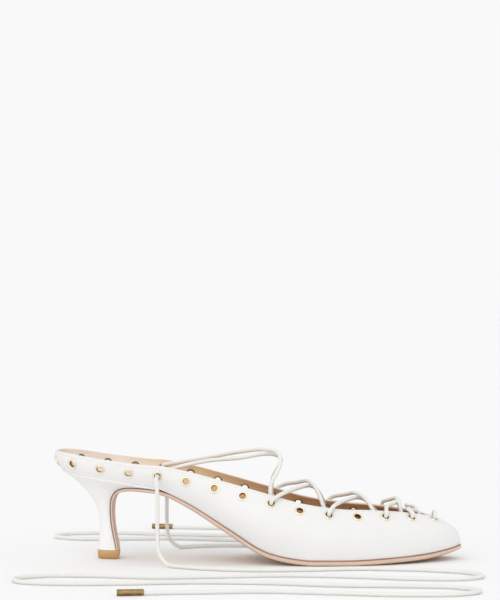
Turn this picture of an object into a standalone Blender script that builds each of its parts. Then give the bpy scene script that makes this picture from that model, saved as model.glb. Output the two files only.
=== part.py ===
"""A lace-up kitten heel for the right foot, standing empty on its sole.

+X runs from heel to toe, +Y to the inner side of the foot, and +Z up. The
origin is on the floor, at the middle of the top piece under the heel. The
outer side of the foot, at -Y, is called outer, and the other side inner.
"""

import math
from collections import namedtuple

import bpy
import numpy as np
from mathutils import Vector
from mathutils.bvhtree import BVHTree

MM = 0.001

# Driving sizes of the last
LENGTH = 248 * MM  # back of the collar to tip of the toe, measured level
BALL_WIDTH = 77 * MM
SEAT_HEIGHT = 53.9 * MM  # floor to the seat at its back
TOE_SPRING = 5.5 * MM
QUARTER_HEIGHT = 34 * MM  # feather line to topline where the wall is tallest

# Leather, board and fit
WALL = 1.8 * MM
SOLE_THICKNESS = 3.2 * MM
WAIST_THICKNESS = 2.2 * MM
FLAP_THICKNESS = 1.4 * MM
TOE_THICKNESS = 1.6 * MM
SOLE_MARGIN = 0.5 * MM  # sole past the upper, all round the forepart
INSOLE_THICKNESS = 2.2 * MM
INSOLE_CLEARANCE = 0.6 * MM
GAP = 0.3 * MM  # between pieces that touch

# Heel block and top piece
TREAD_HEIGHT = 5.3 * MM
TREAD_LENGTH = 13.0 * MM
TREAD_WIDTH = 14.6 * MM
HEEL_WIDTH = 47 * MM  # across the heel at the seat
HEEL_SETBACK = 33.4 * MM  # back of the collar to the middle of the top piece
HEEL_FRONT = 66 * MM  # back of the collar to the front of the heel's lip

# Eyelets
EYELETS_A_SIDE = 15
EYELET_INSET = 6.0 * MM  # topline to the middle of the hole, along the wall
EYELET_HOLE = 1.9 * MM
EYELET_BARREL = 2.3 * MM
EYELET_FLANGE = 3.0 * MM
EYELET_CURL = 0.55 * MM  # how far the flange stands off the leather
WASHER_FLANGE = 2.75 * MM
WASHER_THICKNESS = 0.35 * MM
EYELET_SIDES = 7

# Lace
LACE = 2.4 * MM
LACE_SIDES = 6
LACE_CLEARANCE = 0.5 * MM  # where a modelled strand ends, clear of its eyelet
TIP_DIAMETER = 3.4 * MM
TIP_LENGTH = 13 * MM

# The last, one row for each rib of the wall from the back of the heel to the
# toe. along and top_along are shares of LENGTH; outer, inner, top_outer and
# top_inner of BALL_WIDTH; rise of the height of the seat over the tread;
# spring of TOE_SPRING; wall of QUARTER_HEIGHT. lean is how far the wall tips
# in at the topline, and flare how far it opens out at the feather line.
Rib = namedtuple(
    "Rib",
    "along outer inner rise spring top_along top_outer top_inner wall lean flare",
)
RIBS = [
    Rib(0.022, 0.000, 0.000, 1.000, 0.00, 0.006, 0.000, 0.000, 0.340, 14, 46),
    Rib(0.036, 0.156, 0.156, 0.988, 0.00, 0.018, 0.169, 0.169, 0.353, 12, 42),
    Rib(0.073, 0.253, 0.253, 0.956, 0.00, 0.058, 0.279, 0.279, 0.362, 9, 36),
    Rib(0.137, 0.299, 0.292, 0.911, 0.00, 0.133, 0.331, 0.331, 0.341, 7, 28),
    Rib(0.222, 0.305, 0.279, 0.843, 0.00, 0.222, 0.338, 0.338, 0.362, 8, 24),
    Rib(0.274, 0.305, 0.253, 0.779, 0.00, 0.274, 0.338, 0.338, 0.430, 10, 26),
    Rib(0.347, 0.325, 0.227, 0.605, 0.00, 0.347, 0.344, 0.331, 0.580, 15, 28),
    Rib(0.435, 0.383, 0.240, 0.341, 0.00, 0.427, 0.364, 0.338, 0.820, 24, 28),
    Rib(0.524, 0.455, 0.305, 0.091, 0.00, 0.512, 0.377, 0.351, 1.020, 36, 22),
    Rib(0.625, 0.494, 0.416, 0.000, 0.00, 0.605, 0.370, 0.357, 0.965, 46, 14),
    Rib(0.726, 0.474, 0.468, 0.000, 0.00, 0.694, 0.331, 0.338, 0.860, 50, 10),
    Rib(0.823, 0.377, 0.416, 0.000, 0.16, 0.774, 0.260, 0.286, 0.800, 55, 10),
    Rib(0.903, 0.240, 0.312, 0.000, 0.38, 0.843, 0.169, 0.214, 0.718, 62, 12),
    Rib(0.966, 0.078, 0.182, 0.000, 0.75, 0.895, 0.058, 0.136, 0.590, 70, 14),
    Rib(0.990, -0.052, 0.052, 0.000, 1.00, 0.917, -0.039, 0.039, 0.510, 72, 12),
]
TOE = len(RIBS) - 1  # the rib at the tip of the toe
ROUND = 2 * TOE  # ribs all the way round the shoe
PULL = 0.38  # length of a rib's Bezier handles, as a share of its chord
WALL_STEPS = 5  # mesh faces up the wall

# Where the mesh has stations along each side, in ribs: closer together where
# the outline is round.
HEEL_STATIONS = [0.0, 0.4, 0.75, 1.1, 1.55, 2.05, 2.6, 3.2, 3.75, 4.3, 4.86]
SIDE_STATIONS = [5.4, 6.0, 6.6, 7.2, 7.8, 8.4, 9.0, 9.6, 10.2, 10.8]
TOE_STATIONS = [11.3, 11.8, 12.25, 12.65, 13.05, 13.4, 13.7, 14.0]
STATIONS = HEEL_STATIONS + SIDE_STATIONS + TOE_STATIONS

# The heel block, one row for each level from the seat down. back and front are
# shares of HEEL_FRONT, back_height and front_height of SEAT_HEIGHT, and width
# of HEEL_WIDTH. The first row's outline is the upper's own feather line.
Level = namedtuple("Level", "back back_height front front_height width")
LEVELS = [
    Level(0.083, 0.990, 0.994, 0.797, 1.000),
    Level(0.108, 0.965, 0.850, 0.815, 0.940),
    Level(0.160, 0.922, 0.690, 0.816, 0.830),
    Level(0.250, 0.828, 0.590, 0.772, 0.650),
    Level(0.341, 0.702, 0.540, 0.677, 0.495),
    Level(0.403, 0.556, 0.529, 0.538, 0.372),
    Level(0.427, 0.362, 0.541, 0.353, 0.310),
    Level(0.415, 0.104, 0.582, 0.104, 0.312),
]
LEVEL_STEPS = 2
BREAST_TAPER = 0.18  # how much narrower the heel is at its breast

# Where the lace crosses over the foot: the eyelets at its back and its front,
# counted from the heel, the top of the crossing, along from the collar's back
# and up from the floor, and how far a strand leans along the shoe by the time
# it passes the topline.
Crossing = namedtuple("Crossing", "rear front top_along top_height lead")
CROSSINGS = [
    Crossing(8, 10, 160 * MM, 44.8 * MM, 3.0 * MM),
    Crossing(10, 12, 184 * MM, 38.0 * MM, 2.5 * MM),
    Crossing(12, 13, 207 * MM, 35.4 * MM, 1.5 * MM),
    Crossing(13, 14, 219 * MM, 31.0 * MM, 1.0 * MM),
]
TIE_EYELET = 4
INSTEP_EYELET = 8
BAR_POINTS = 13
CROSSING_POINTS = 16
INSTEP_POINTS = 23

# The long crossing over the instep, from the outer side of eyelet 8 to the
# inner side of eyelet 4. The other strand is its mirror image.
INSTEP_ROUTE = [
    (98.6 * MM, -22.0 * MM, 46.5 * MM),
    (104.0 * MM, -14.5 * MM, 57.0 * MM),
    (103.0 * MM, -6.5 * MM, 62.8 * MM),
    (95.6 * MM, 0.0 * MM, 64.6 * MM),
    (79.6 * MM, 8.5 * MM, 62.6 * MM),
    (61.6 * MM, 15.5 * MM, 60.2 * MM),
    (45.0 * MM, 20.0 * MM, 57.0 * MM),
]

# The ties, from the outside of eyelet 4 down the quarter and along the floor
TIE_REST = LACE / 2 + 0.2 * MM  # height of the tie's middle where it lies
TIE_SAG = 0.25 * MM  # how far below the middle of its hole it leaves the eyelet
OUTER_TIE_ROUTE = [
    (31.6 * MM, -34.2 * MM, 50.0 * MM),
    (32.4 * MM, -36.8 * MM, 43.0 * MM),
    (32.6 * MM, -37.2 * MM, 32.0 * MM),
    (32.6 * MM, -37.4 * MM, 19.0 * MM),
    (34.0 * MM, -39.6 * MM, 7.6 * MM),
    (40.5 * MM, -46.5 * MM, TIE_REST),
    (56.0 * MM, -56.0 * MM, TIE_REST),
    (84.0 * MM, -64.0 * MM, TIE_REST),
    (118.0 * MM, -62.0 * MM, TIE_REST),
    (152.0 * MM, -56.0 * MM, TIE_REST),
    (186.0 * MM, -60.0 * MM, TIE_REST),
    (212.0 * MM, -72.0 * MM, TIE_REST),
    (219.0 * MM, -87.0 * MM, TIE_REST),
    (206.0 * MM, -99.0 * MM, TIE_REST),
    (176.0 * MM, -98.0 * MM, TIE_REST),
    (142.0 * MM, -90.0 * MM, TIE_REST),
    (106.0 * MM, -87.0 * MM, TIE_REST),
    (70.0 * MM, -93.0 * MM, TIE_REST),
    (34.0 * MM, -98.0 * MM, TIE_REST),
    (0.0 * MM, -92.0 * MM, TIE_REST),
    (-26.0 * MM, -93.0 * MM, TIE_REST),
    (-41.0 * MM, -105.0 * MM, TIE_REST),
    (-37.0 * MM, -119.0 * MM, TIE_REST),
    (-12.0 * MM, -126.0 * MM, TIE_REST),
    (24.0 * MM, -123.0 * MM, TIE_REST),
    (60.0 * MM, -117.0 * MM, TIE_REST),
    (98.0 * MM, -119.0 * MM, TIE_REST),
    (136.0 * MM, -127.0 * MM, TIE_REST),
    (172.0 * MM, -129.0 * MM, TIE_REST),
    (200.0 * MM, -133.0 * MM, TIE_REST),
    (213.0 * MM, -146.0 * MM, TIE_REST),
    (203.0 * MM, -159.0 * MM, TIE_REST),
    (172.0 * MM, -163.0 * MM, TIE_REST),
    (136.0 * MM, -158.0 * MM, TIE_REST),
    (100.0 * MM, -153.0 * MM, TIE_REST),
    (64.0 * MM, -157.0 * MM, TIE_REST),
    (34.0 * MM, -162.0 * MM, TIE_REST),
]
INNER_TIE_ROUTE = [
    (31.6 * MM, 34.2 * MM, 50.0 * MM),
    (32.4 * MM, 36.8 * MM, 43.0 * MM),
    (32.6 * MM, 37.2 * MM, 32.0 * MM),
    (32.6 * MM, 37.4 * MM, 19.0 * MM),
    (34.0 * MM, 39.6 * MM, 7.6 * MM),
    (40.5 * MM, 46.5 * MM, TIE_REST),
    (58.0 * MM, 55.0 * MM, TIE_REST),
    (90.0 * MM, 57.0 * MM, TIE_REST),
    (124.0 * MM, 53.0 * MM, TIE_REST),
    (158.0 * MM, 56.0 * MM, TIE_REST),
    (190.0 * MM, 62.0 * MM, TIE_REST),
    (212.0 * MM, 76.0 * MM, TIE_REST),
    (208.0 * MM, 92.0 * MM, TIE_REST),
    (180.0 * MM, 99.0 * MM, TIE_REST),
    (146.0 * MM, 92.0 * MM, TIE_REST),
    (110.0 * MM, 84.0 * MM, TIE_REST),
    (74.0 * MM, 86.0 * MM, TIE_REST),
    (38.0 * MM, 95.0 * MM, TIE_REST),
    (2.0 * MM, 92.0 * MM, TIE_REST),
    (-28.0 * MM, 91.0 * MM, TIE_REST),
    (-45.0 * MM, 103.0 * MM, TIE_REST),
    (-41.0 * MM, 119.0 * MM, TIE_REST),
    (-16.0 * MM, 126.0 * MM, TIE_REST),
    (20.0 * MM, 122.0 * MM, TIE_REST),
    (56.0 * MM, 115.0 * MM, TIE_REST),
    (94.0 * MM, 116.0 * MM, TIE_REST),
    (132.0 * MM, 124.0 * MM, TIE_REST),
    (168.0 * MM, 128.0 * MM, TIE_REST),
    (196.0 * MM, 134.0 * MM, TIE_REST),
    (209.0 * MM, 147.0 * MM, TIE_REST),
    (198.0 * MM, 160.0 * MM, TIE_REST),
    (166.0 * MM, 164.0 * MM, TIE_REST),
    (130.0 * MM, 158.0 * MM, TIE_REST),
    (94.0 * MM, 153.0 * MM, TIE_REST),
    (58.0 * MM, 158.0 * MM, TIE_REST),
    (26.0 * MM, 163.0 * MM, TIE_REST),
]
TIE_POINTS = 74

UP = np.array([0.0, 0.0, 1.0])


def spline(rows, at, closed=False):
    """Catmull-Rom spline through rows, read at row numbers, whole or not."""
    rows = np.asarray(rows, float)
    at = np.atleast_1d(np.asarray(at, float))
    last = len(rows) - 1
    if not closed:
        at = np.clip(at, 0, last)
    first = np.floor(at).astype(int)
    if not closed:
        first = np.minimum(first, last - 1)
    step = (at - first)[:, None]
    turn = (lambda i: i % len(rows)) if closed else (lambda i: np.clip(i, 0, last))
    a, b, c, d = (rows[turn(first + k)] for k in (-1, 0, 1, 2))
    bend = 2 * a - 5 * b + 4 * c - d
    return b + 0.5 * step * (c - a + step * (bend + step * (3 * (b - c) + d - a)))


def unit(vectors):
    """The vectors, each at length one."""
    return vectors / np.linalg.norm(vectors, axis=-1, keepdims=True)


def rib_table():
    """The ribs all round the shoe, in metres: foot, top, lean and flare."""
    seat = SEAT_HEIGHT - SOLE_THICKNESS - GAP
    rows = []
    order = [(rib, -1) for rib in RIBS] + [(rib, 1) for rib in RIBS[-2:0:-1]]
    for rib, side in order:
        out, top = (rib.inner, rib.top_inner) if side > 0 else (rib.outer, rib.top_outer)
        foot_height = SOLE_THICKNESS + GAP + rib.rise * seat + rib.spring * TOE_SPRING
        rows.append(
            (
                rib.along * LENGTH - HEEL_SETBACK,
                side * out * BALL_WIDTH,
                foot_height,
                rib.top_along * LENGTH - HEEL_SETBACK,
                side * top * BALL_WIDTH,
                foot_height + rib.wall * QUARTER_HEIGHT,
                math.radians(rib.lean),
                math.radians(rib.flare),
            )
        )
    return np.array(rows)


RIB_ROWS = rib_table()


def ribs(at):
    """Foot, top, outward direction, lean and flare at places round the shoe."""
    at = np.atleast_1d(np.asarray(at, float))
    rows = spline(RIB_ROWS, at, closed=True)
    ahead = spline(RIB_ROWS, at + 0.05, closed=True)
    behind = spline(RIB_ROWS, at - 0.05, closed=True)
    along = unit((ahead - behind)[:, [0, 1]]) + unit((ahead - behind)[:, [3, 4]])
    out = np.zeros((len(at), 3))
    out[:, 0], out[:, 1] = along[:, 1], -along[:, 0]
    foot, top = rows[:, 0:3].copy(), rows[:, 3:6]
    foot[:, 2] = np.maximum(foot[:, 2], SOLE_THICKNESS + GAP)
    return foot, top, unit(out), rows[:, 6], rows[:, 7]


def outer_wall(at, up):
    """Points of the upper's outer face: a Bezier up each rib, foot to topline."""
    foot, top, out, lean, flare = ribs(at)
    reach = PULL * np.linalg.norm(top - foot, axis=1)[:, None]
    low = foot + reach * (np.sin(flare)[:, None] * out + np.cos(flare)[:, None] * UP)
    high = top + reach * (np.sin(lean)[:, None] * out - np.cos(lean)[:, None] * UP)
    t = np.asarray(up, float)[None, :, None]
    return (
        (1 - t) ** 3 * foot[:, None]
        + 3 * (1 - t) ** 2 * t * low[:, None]
        + 3 * (1 - t) * t**2 * high[:, None]
        + t**3 * top[:, None]
    )


def wall_normals(at, up):
    """Outward unit normals of the outer face."""
    at, up = np.asarray(at, float), np.asarray(up, float)
    small = 0.02
    along = outer_wall(at + small, up) - outer_wall(at - small, up)
    rise = outer_wall(at, np.minimum(up + small, 1)) - outer_wall(at, np.maximum(up - small, 0))
    return unit(np.cross(along, rise))


def material(name, colour, roughness, metallic=0.0):
    """A Principled BSDF of one colour."""
    made = bpy.data.materials.new(name)
    made.use_nodes = True
    shader = made.node_tree.nodes["Principled BSDF"]
    shader.inputs["Base Color"].default_value = (*colour, 1.0)
    shader.inputs["Roughness"].default_value = roughness
    shader.inputs["Metallic"].default_value = metallic
    return made


def add_object(name, points, faces, finish, smooth_under=math.radians(40)):
    """A mesh object made of points and faces, shaded smooth."""
    mesh = bpy.data.meshes.new(name)
    mesh.from_pydata([tuple(p) for p in np.asarray(points, float)], [], faces)
    mesh.shade_smooth()
    mesh.set_sharp_from_angle(angle=smooth_under)
    if finish:
        mesh.materials.append(finish)
    made = bpy.data.objects.new(name, mesh)
    bpy.context.scene.collection.objects.link(made)
    return made


def skin(rings, closed=False, ladder=False):
    """Points and faces of a solid through rings of as many points each.

    The rings join end to end if closed. Otherwise each end gets a cap, which
    is a ladder of rungs across the ring where the ring isn't flat.
    """
    rings = np.asarray(rings, float)
    count, around = rings.shape[:2]
    faces = []
    for i in range(count if closed else count - 1):
        this, after = i * around, (i + 1) % count * around
        for j in range(around):
            k = (j + 1) % around
            faces.append((this + j, this + k, after + k, after + j))
    if not closed:
        end = (count - 1) * around
        if ladder:
            for j in range(around // 2):
                across = (j, j + 1, around - j - 1, (around - j) % around)
                rung = list(dict.fromkeys(across))
                faces.append(tuple(reversed(rung)))
                faces.append(tuple(end + k for k in rung))
        else:
            faces.append(tuple(range(around - 1, -1, -1)))
            faces.append(tuple(range(end, end + around)))
    return rings.reshape(-1, 3), faces


def facing_out(points, faces):
    """The faces, turned round if the solid they close is inside out."""
    volume = 0.0
    for face in faces:
        a = points[face[0]]
        for i in range(1, len(face) - 1):
            volume += np.dot(a, np.cross(points[face[i]], points[face[i + 1]]))
    return faces if volume > 0 else [tuple(reversed(face)) for face in faces]


def add_solid(name, rings, finish, closed=False, ladder=False):
    """An object through rings, with its faces pointing out."""
    points, faces = skin(rings, closed, ladder)
    return add_object(name, points, facing_out(points, faces), finish)


def upper_rings():
    """The upper's section at each station: up the outer face, down the inner."""
    at = np.concatenate([STATIONS, ROUND - np.array(STATIONS[-2:0:-1])])
    up = np.linspace(0, 1, WALL_STEPS + 1)
    outside = outer_wall(at, up)
    inside = outside - WALL * wall_normals(at, up)
    foot, _, out, _, flare = ribs(at)
    inside[:, 0] = foot - out * WALL / np.cos(flare)[:, None]
    return np.concatenate([outside, inside[:, ::-1]], axis=1)


def eyelet_places():
    """(side, number) to the middle of each eyelet on the outer face, its normal and its topline point."""
    places = {}
    fine = np.linspace(0, TOE, TOE * 20 + 1)
    up = np.linspace(0, 1, 60)
    for side, at in (("outer", fine), ("inner", ROUND - fine)):
        wall = outer_wall(at, up)
        lengths = np.linalg.norm(np.diff(wall, axis=1), axis=2)
        below_top = np.cumsum(lengths[:, ::-1], axis=1)[:, ::-1]
        level = np.array([np.interp(-EYELET_INSET, -row, up[:-1]) for row in below_top])
        row = np.array([outer_wall([a], [t])[0, 0] for a, t in zip(at, level)])
        run = np.concatenate([[0], np.cumsum(np.linalg.norm(np.diff(row, axis=0), axis=1))])
        for number in range(EYELETS_A_SIDE):
            spot = run[-1] * (number + 0.5) / EYELETS_A_SIDE
            a, t = np.interp(spot, run, at), np.interp(spot, run, level)
            places[side, number] = (
                outer_wall([a], [t])[0, 0],
                wall_normals([a], [t])[0, 0],
                outer_wall([a], [1.0])[0, 0],
            )
    return places


def wall_span(tree, middle, normal):
    """How far the wall reaches out and in from the eyelet's middle, along its normal, under the flange."""
    turn = Vector(normal).to_track_quat("Z", "Y")
    high, low = [], []
    for k in range(EYELET_SIDES * 2 + 1):
        radius = EYELET_FLANGE if k else 0.0
        angle = math.pi * k / EYELET_SIDES
        spoke = Vector((radius * math.cos(angle), radius * math.sin(angle), 0))
        start = Vector(middle) + turn @ spoke
        from_out = tree.ray_cast(start + Vector(normal) * 2 * WALL, -Vector(normal), 4 * WALL)
        from_in = tree.ray_cast(start - Vector(normal) * 4 * WALL, Vector(normal), 4 * WALL)
        if from_out[0] is not None:
            high.append((from_out[0] - Vector(middle)).dot(Vector(normal)))
        if from_in[0] is not None:
            low.append((from_in[0] - Vector(middle)).dot(Vector(normal)))
    return max(high), min(low)


def turned(profile, sides):
    """Points and faces of a ring-shaped profile turned once round the Z axis."""
    angles = np.arange(sides) * 2 * math.pi / sides
    profile = np.asarray(profile, float)
    rings = np.stack(
        [
            np.outer(np.cos(angles), profile[:, 0]),
            np.outer(np.sin(angles), profile[:, 0]),
            np.tile(profile[:, 1], (sides, 1)),
        ],
        axis=2,
    )
    points, faces = skin(rings, closed=True)
    return points, facing_out(points, faces)


def add_eyelet(name, place, span, finish):
    """A brass eyelet: curled flange outside, barrel through the wall, washer inside."""
    middle, normal, _ = place
    out, back = span[0] + GAP, span[1] - GAP
    profile = [
        (EYELET_HOLE, back - WASHER_THICKNESS),
        (WASHER_FLANGE, back - WASHER_THICKNESS / 2),
        (EYELET_BARREL, back),
        (EYELET_BARREL, out),
        (EYELET_FLANGE, out),
        (0.75 * EYELET_HOLE + 0.25 * EYELET_FLANGE, out + EYELET_CURL),
    ]
    points, faces = turned(profile, EYELET_SIDES)
    made = add_object(name, points, faces, finish)
    made.location = Vector(middle)
    made.rotation_mode = "QUATERNION"
    made.rotation_quaternion = Vector(normal).to_track_quat("Z", "Y")
    return made


def cut_holes(upper, places):
    """A hole in the upper for each eyelet's barrel, cut by one wire-drawn cutter."""
    reach = 3 * WALL
    radius = EYELET_BARREL + GAP / math.cos(math.pi / EYELET_SIDES)
    angles = np.arange(EYELET_SIDES) * 2 * math.pi / EYELET_SIDES
    points, faces = [], []
    for middle, normal, _ in places.values():
        turn = Vector(normal).to_track_quat("Z", "Y")
        ends = []
        for height in (-reach, reach):
            ring = [
                Vector(middle) + turn @ Vector((radius * math.cos(a), radius * math.sin(a), height))
                for a in angles
            ]
            ends.append(ring)
        peg, peg_faces = skin([[tuple(v) for v in ring] for ring in ends])
        peg_faces = facing_out(peg - peg.mean(axis=0), peg_faces)
        start = len(points)
        points.extend(peg)
        faces.extend(tuple(start + k for k in face) for face in peg_faces)
    cutter = add_object("eyelet_holes", points, faces, None)
    cutter.hide_render = True
    cutter.display_type = "WIRE"
    cut = upper.modifiers.new("eyelet holes", "BOOLEAN")
    cut.operation = "DIFFERENCE"
    cut.object = cutter


def add_insole(finish):
    """The insole with its sock, inside the upper's foot on the sole and the seat."""
    at = np.array(STATIONS[1:-1])
    edges = []
    for places in (at, ROUND - at):
        foot, _, out, _, flare = ribs(places)
        inset = WALL / np.cos(flare) + INSOLE_CLEARANCE
        edges.append(foot - out * inset[:, None])
    outer, inner = edges
    outer[:, 0] = inner[:, 0] = (outer[:, 0] + inner[:, 0]) / 2
    lift = UP * INSOLE_THICKNESS
    round_off = 0.35 * INSOLE_THICKNESS
    across = unit(inner - outer) * round_off
    rings = np.stack(
        [
            outer,
            inner,
            inner + lift - UP * round_off,
            inner + lift - across,
            outer + lift + across,
            outer + lift - UP * round_off,
        ],
        axis=1,
    )
    return add_solid("insole", rings, finish)


def heel_ring_shape():
    """The heel's ring at the seat and lower down: shares along it and across it.

    The ring starts at the back, runs along the outer side to the lip, across
    the front and back along the inner side. Low down it is a D with its flat
    side, a little narrower, at the breast.
    """
    side_at = np.array(HEEL_STATIONS)
    outer, inner = ribs(side_at)[0], ribs(ROUND - side_at)[0]
    across = np.linspace(0, 1, 7)[1:-1, None]
    front = outer[-1] + across * (inner[-1] - outer[-1])
    seat = np.concatenate([outer, front, inner[:0:-1]])
    angle = np.linspace(math.pi / 2, 0, len(side_at))
    low_along = 1 - np.sin(angle)
    low_across = -np.cos(angle) * (1 - BREAST_TAPER * low_along**3)
    low_across /= np.abs(low_across).max()
    edge = low_across[-1] * np.linspace(1, -1, 7)[1:-1]
    low = np.stack(
        [
            np.concatenate([low_along, np.ones(5), low_along[:0:-1]]),
            np.concatenate([low_across, edge, -low_across[:0:-1]]),
        ],
        axis=1,
    )
    return seat, low


def heel_rings():
    """The heel's rings from the seat down to the top piece."""
    seat, low = heel_ring_shape()
    count = (len(LEVELS) - 1) * LEVEL_STEPS
    rows = spline(LEVELS, np.linspace(0, len(LEVELS) - 1, count + 1))
    back, front = rows[0, 0] * HEEL_FRONT, rows[0, 2] * HEEL_FRONT
    high = np.stack(
        [
            (seat[:, 0] + HEEL_SETBACK - back) / (front - back),
            seat[:, 1] / (HEEL_WIDTH / 2),
        ],
        axis=1,
    )
    rings = [seat - UP * GAP]
    for number, row in enumerate(rows[1:], 1):
        blend = min(1.0, 2.0 * number / count)
        blend = blend * blend * (3 - 2 * blend)
        shape = high + blend * (low - high)
        start = np.array([row[0] * HEEL_FRONT - HEEL_SETBACK, row[1] * SEAT_HEIGHT])
        end = np.array([row[2] * HEEL_FRONT - HEEL_SETBACK, row[3] * SEAT_HEIGHT])
        line = start + shape[:, :1] * (end - start)
        width = shape[:, 1] * row[4] * HEEL_WIDTH / 2
        rings.append(np.stack([line[:, 0], width, line[:, 1]], axis=1))
    rings[-1][:, 2] = TREAD_HEIGHT + GAP
    return np.array(rings)


def add_top_piece(finish):
    """The top piece under the heel, a D with its lower edge rounded."""
    _, low = heel_ring_shape()
    rings = []
    for height, ease in ((TREAD_HEIGHT, 0.0), (1.0 * MM, 0.2 * MM), (0.0, 0.9 * MM)):
        along = (low[:, 0] - 0.5) * (TREAD_LENGTH - 2 * ease)
        across = low[:, 1] * (TREAD_WIDTH / 2 - ease)
        rings.append(np.stack([along, across, np.full(len(low), height)], axis=1))
    return add_solid("top_piece", rings, finish, ladder=True)


def add_outsole(heel, finish):
    """The leather outsole: tread, waist, and the flap that runs down the breast."""
    at = np.array(SIDE_STATIONS + TOE_STATIONS[:-1])[::-1]
    outer, inner = ribs(at)[0], ribs(ROUND - at)[0]
    lip = HEEL_STATIONS[-1]
    margin = SOLE_MARGIN * np.clip((at - lip) / 3, 0, 1)[:, None]
    outer += ribs(at)[2] * margin
    inner += ribs(ROUND - at)[2] * margin
    corner = len(HEEL_STATIONS) - 1  # the ring's outer corner at the breast
    breast = heel[1:, corner], heel[1:, -corner]
    outer, inner = (
        np.concatenate([sole, edge]) for sole, edge in zip((outer, inner), breast)
    )
    outer[:, 2] = inner[:, 2] = (outer[:, 2] + inner[:, 2]) / 2
    line = (outer + inner)[:, [0, 2]] / 2
    along = np.gradient(line, axis=0)
    away = unit(np.stack([-along[:, 1], np.zeros(len(line)), along[:, 0]], axis=1))
    flap = len(heel) - 1
    tread = np.interp(
        at,
        [lip, 8, 9, 12, TOE],
        [WAIST_THICKNESS, 0.9 * SOLE_THICKNESS, SOLE_THICKNESS, SOLE_THICKNESS, TOE_THICKNESS],
    )
    thin = np.linspace(WAIST_THICKNESS, FLAP_THICKNESS, flap)
    thick = np.concatenate([tread, thin])[:, None]
    edge = 0.45
    side = unit(inner - outer) * 0.4 * thick
    high_outer, high_inner = outer + away * GAP, inner + away * GAP
    rings = np.stack(
        [
            high_outer,
            high_inner,
            high_inner + away * thick * (1 - edge),
            high_inner + away * thick - side,
            high_outer + away * thick + side,
            high_outer + away * thick * (1 - edge),
        ],
        axis=1,
    )
    flat = SOLE_THICKNESS + GAP + 0.02 * MM
    treads = np.flatnonzero((outer[:, 2] < flat) & (thick[:, 0] > 0.99 * SOLE_THICKNESS))
    rings[treads[:, None], [3, 4], 2] = 0.0
    rings[-1, :, 2] = TREAD_HEIGHT + GAP
    return add_solid("outsole", rings, finish)


def smooth_route(points, count):
    """Points on a smooth curve through the route's own, closer together where those are."""
    points = np.asarray(points, float)
    gaps = np.linalg.norm(np.diff(points, axis=0), axis=1)
    knots = np.concatenate([[0], np.cumsum(np.sqrt(gaps))])
    rates = np.diff(points, axis=0) / np.diff(knots)[:, None]
    weights = np.diff(knots)
    slopes = np.concatenate(
        [
            rates[:1],
            (rates[:-1] * weights[1:, None] + rates[1:] * weights[:-1, None])
            / (weights[:-1] + weights[1:])[:, None],
            rates[-1:],
        ]
    )
    fine = np.linspace(0, knots[-1], count)
    i = np.clip(np.searchsorted(knots, fine, side="right") - 1, 0, len(knots) - 2)
    span = weights[i][:, None]
    s = (fine[:, None] - knots[i][:, None]) / span
    return (
        (2 * s**3 - 3 * s**2 + 1) * points[i]
        + (s**3 - 2 * s**2 + s) * span * slopes[i]
        + (3 * s**2 - 2 * s**3) * points[i + 1]
        + (s**3 - s**2) * span * slopes[i + 1]
    )


def tube_rings(line, radius, sides):
    """Rings round a line, carried along it without twisting."""
    along = unit(np.gradient(line, axis=0))
    side = np.cross(along[0], UP if abs(along[0][2]) < 0.9 else np.array([1.0, 0, 0]))
    angles = np.arange(sides) * 2 * math.pi / sides
    rings = []
    for point, way in zip(line, along):
        side = unit(side - way * np.dot(side, way))
        other = np.cross(way, side)
        rings.append(
            point + radius * (np.outer(np.cos(angles), side) + np.outer(np.sin(angles), other))
        )
    return rings


def lace_start(place, span, outside, lead=0.0):
    """A lace's way from just clear of an eyelet to past the topline, lead along the shoe by then."""
    middle, normal, topline = place
    rise = unit(topline - middle)
    ahead = unit(np.cross(normal, rise))
    ahead *= math.copysign(lead, ahead[0] * lead)
    if outside:
        mouth = middle + normal * (span[0] + GAP + EYELET_CURL + LACE_CLEARANCE)
        bend = mouth + normal * 0.6 * LACE + rise * 0.15 * LACE
        beside = topline + normal * 0.85 * LACE - rise * 0.5 * LACE + ahead * 0.6
        over = topline + normal * 0.25 * LACE + rise * 0.85 * LACE + ahead
    else:
        mouth = middle + normal * (span[1] - GAP - WASHER_THICKNESS - LACE_CLEARANCE)
        bend = mouth - normal * 0.6 * LACE + rise * 0.15 * LACE
        beside = topline - normal * (WALL + 0.95 * LACE) - rise * 0.5 * LACE + ahead * 0.6
        over = beside + rise * 1.3 * LACE - normal * 0.1 * LACE + ahead * 0.4
    return [mouth, bend, beside, over]


def crossing_route(places, spans, crossing, side):
    """One strand: out of a rear eyelet, over the foot, into the other side's front eyelet."""
    other = "inner" if side == "outer" else "outer"
    rear, front = (side, crossing.rear), (other, crossing.front)
    start = lace_start(places[rear], spans[rear], True, crossing.lead)
    end = lace_start(places[front], spans[front], False, -crossing.lead)[::-1]
    middle = (places["outer", crossing.rear][0] + places["inner", crossing.rear][0]) / 2
    top = np.array([crossing.top_along - HEEL_SETBACK, middle[1], crossing.top_height])
    shoulders = []
    for foot in (start[-1], end[0]):
        shoulder = (foot + top) / 2
        shoulder[2] += 0.28 * (top[2] - foot[2])
        shoulders.append(shoulder)
    return start + [shoulders[0], top, shoulders[1]] + end


def instep_route(places, spans, side):
    """The long strand: out of the inside of eyelet 8, over the instep, into the other side's eyelet 4."""
    other = "inner" if side == "outer" else "outer"
    turn = np.array([1, 1 if side == "outer" else -1, 1])
    start = lace_start(places[side, INSTEP_EYELET], spans[side, INSTEP_EYELET], False)
    end = lace_start(places[other, TIE_EYELET], spans[other, TIE_EYELET], False)
    return start[:3] + [np.array(point) * turn for point in INSTEP_ROUTE] + end[1::-1]


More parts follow.
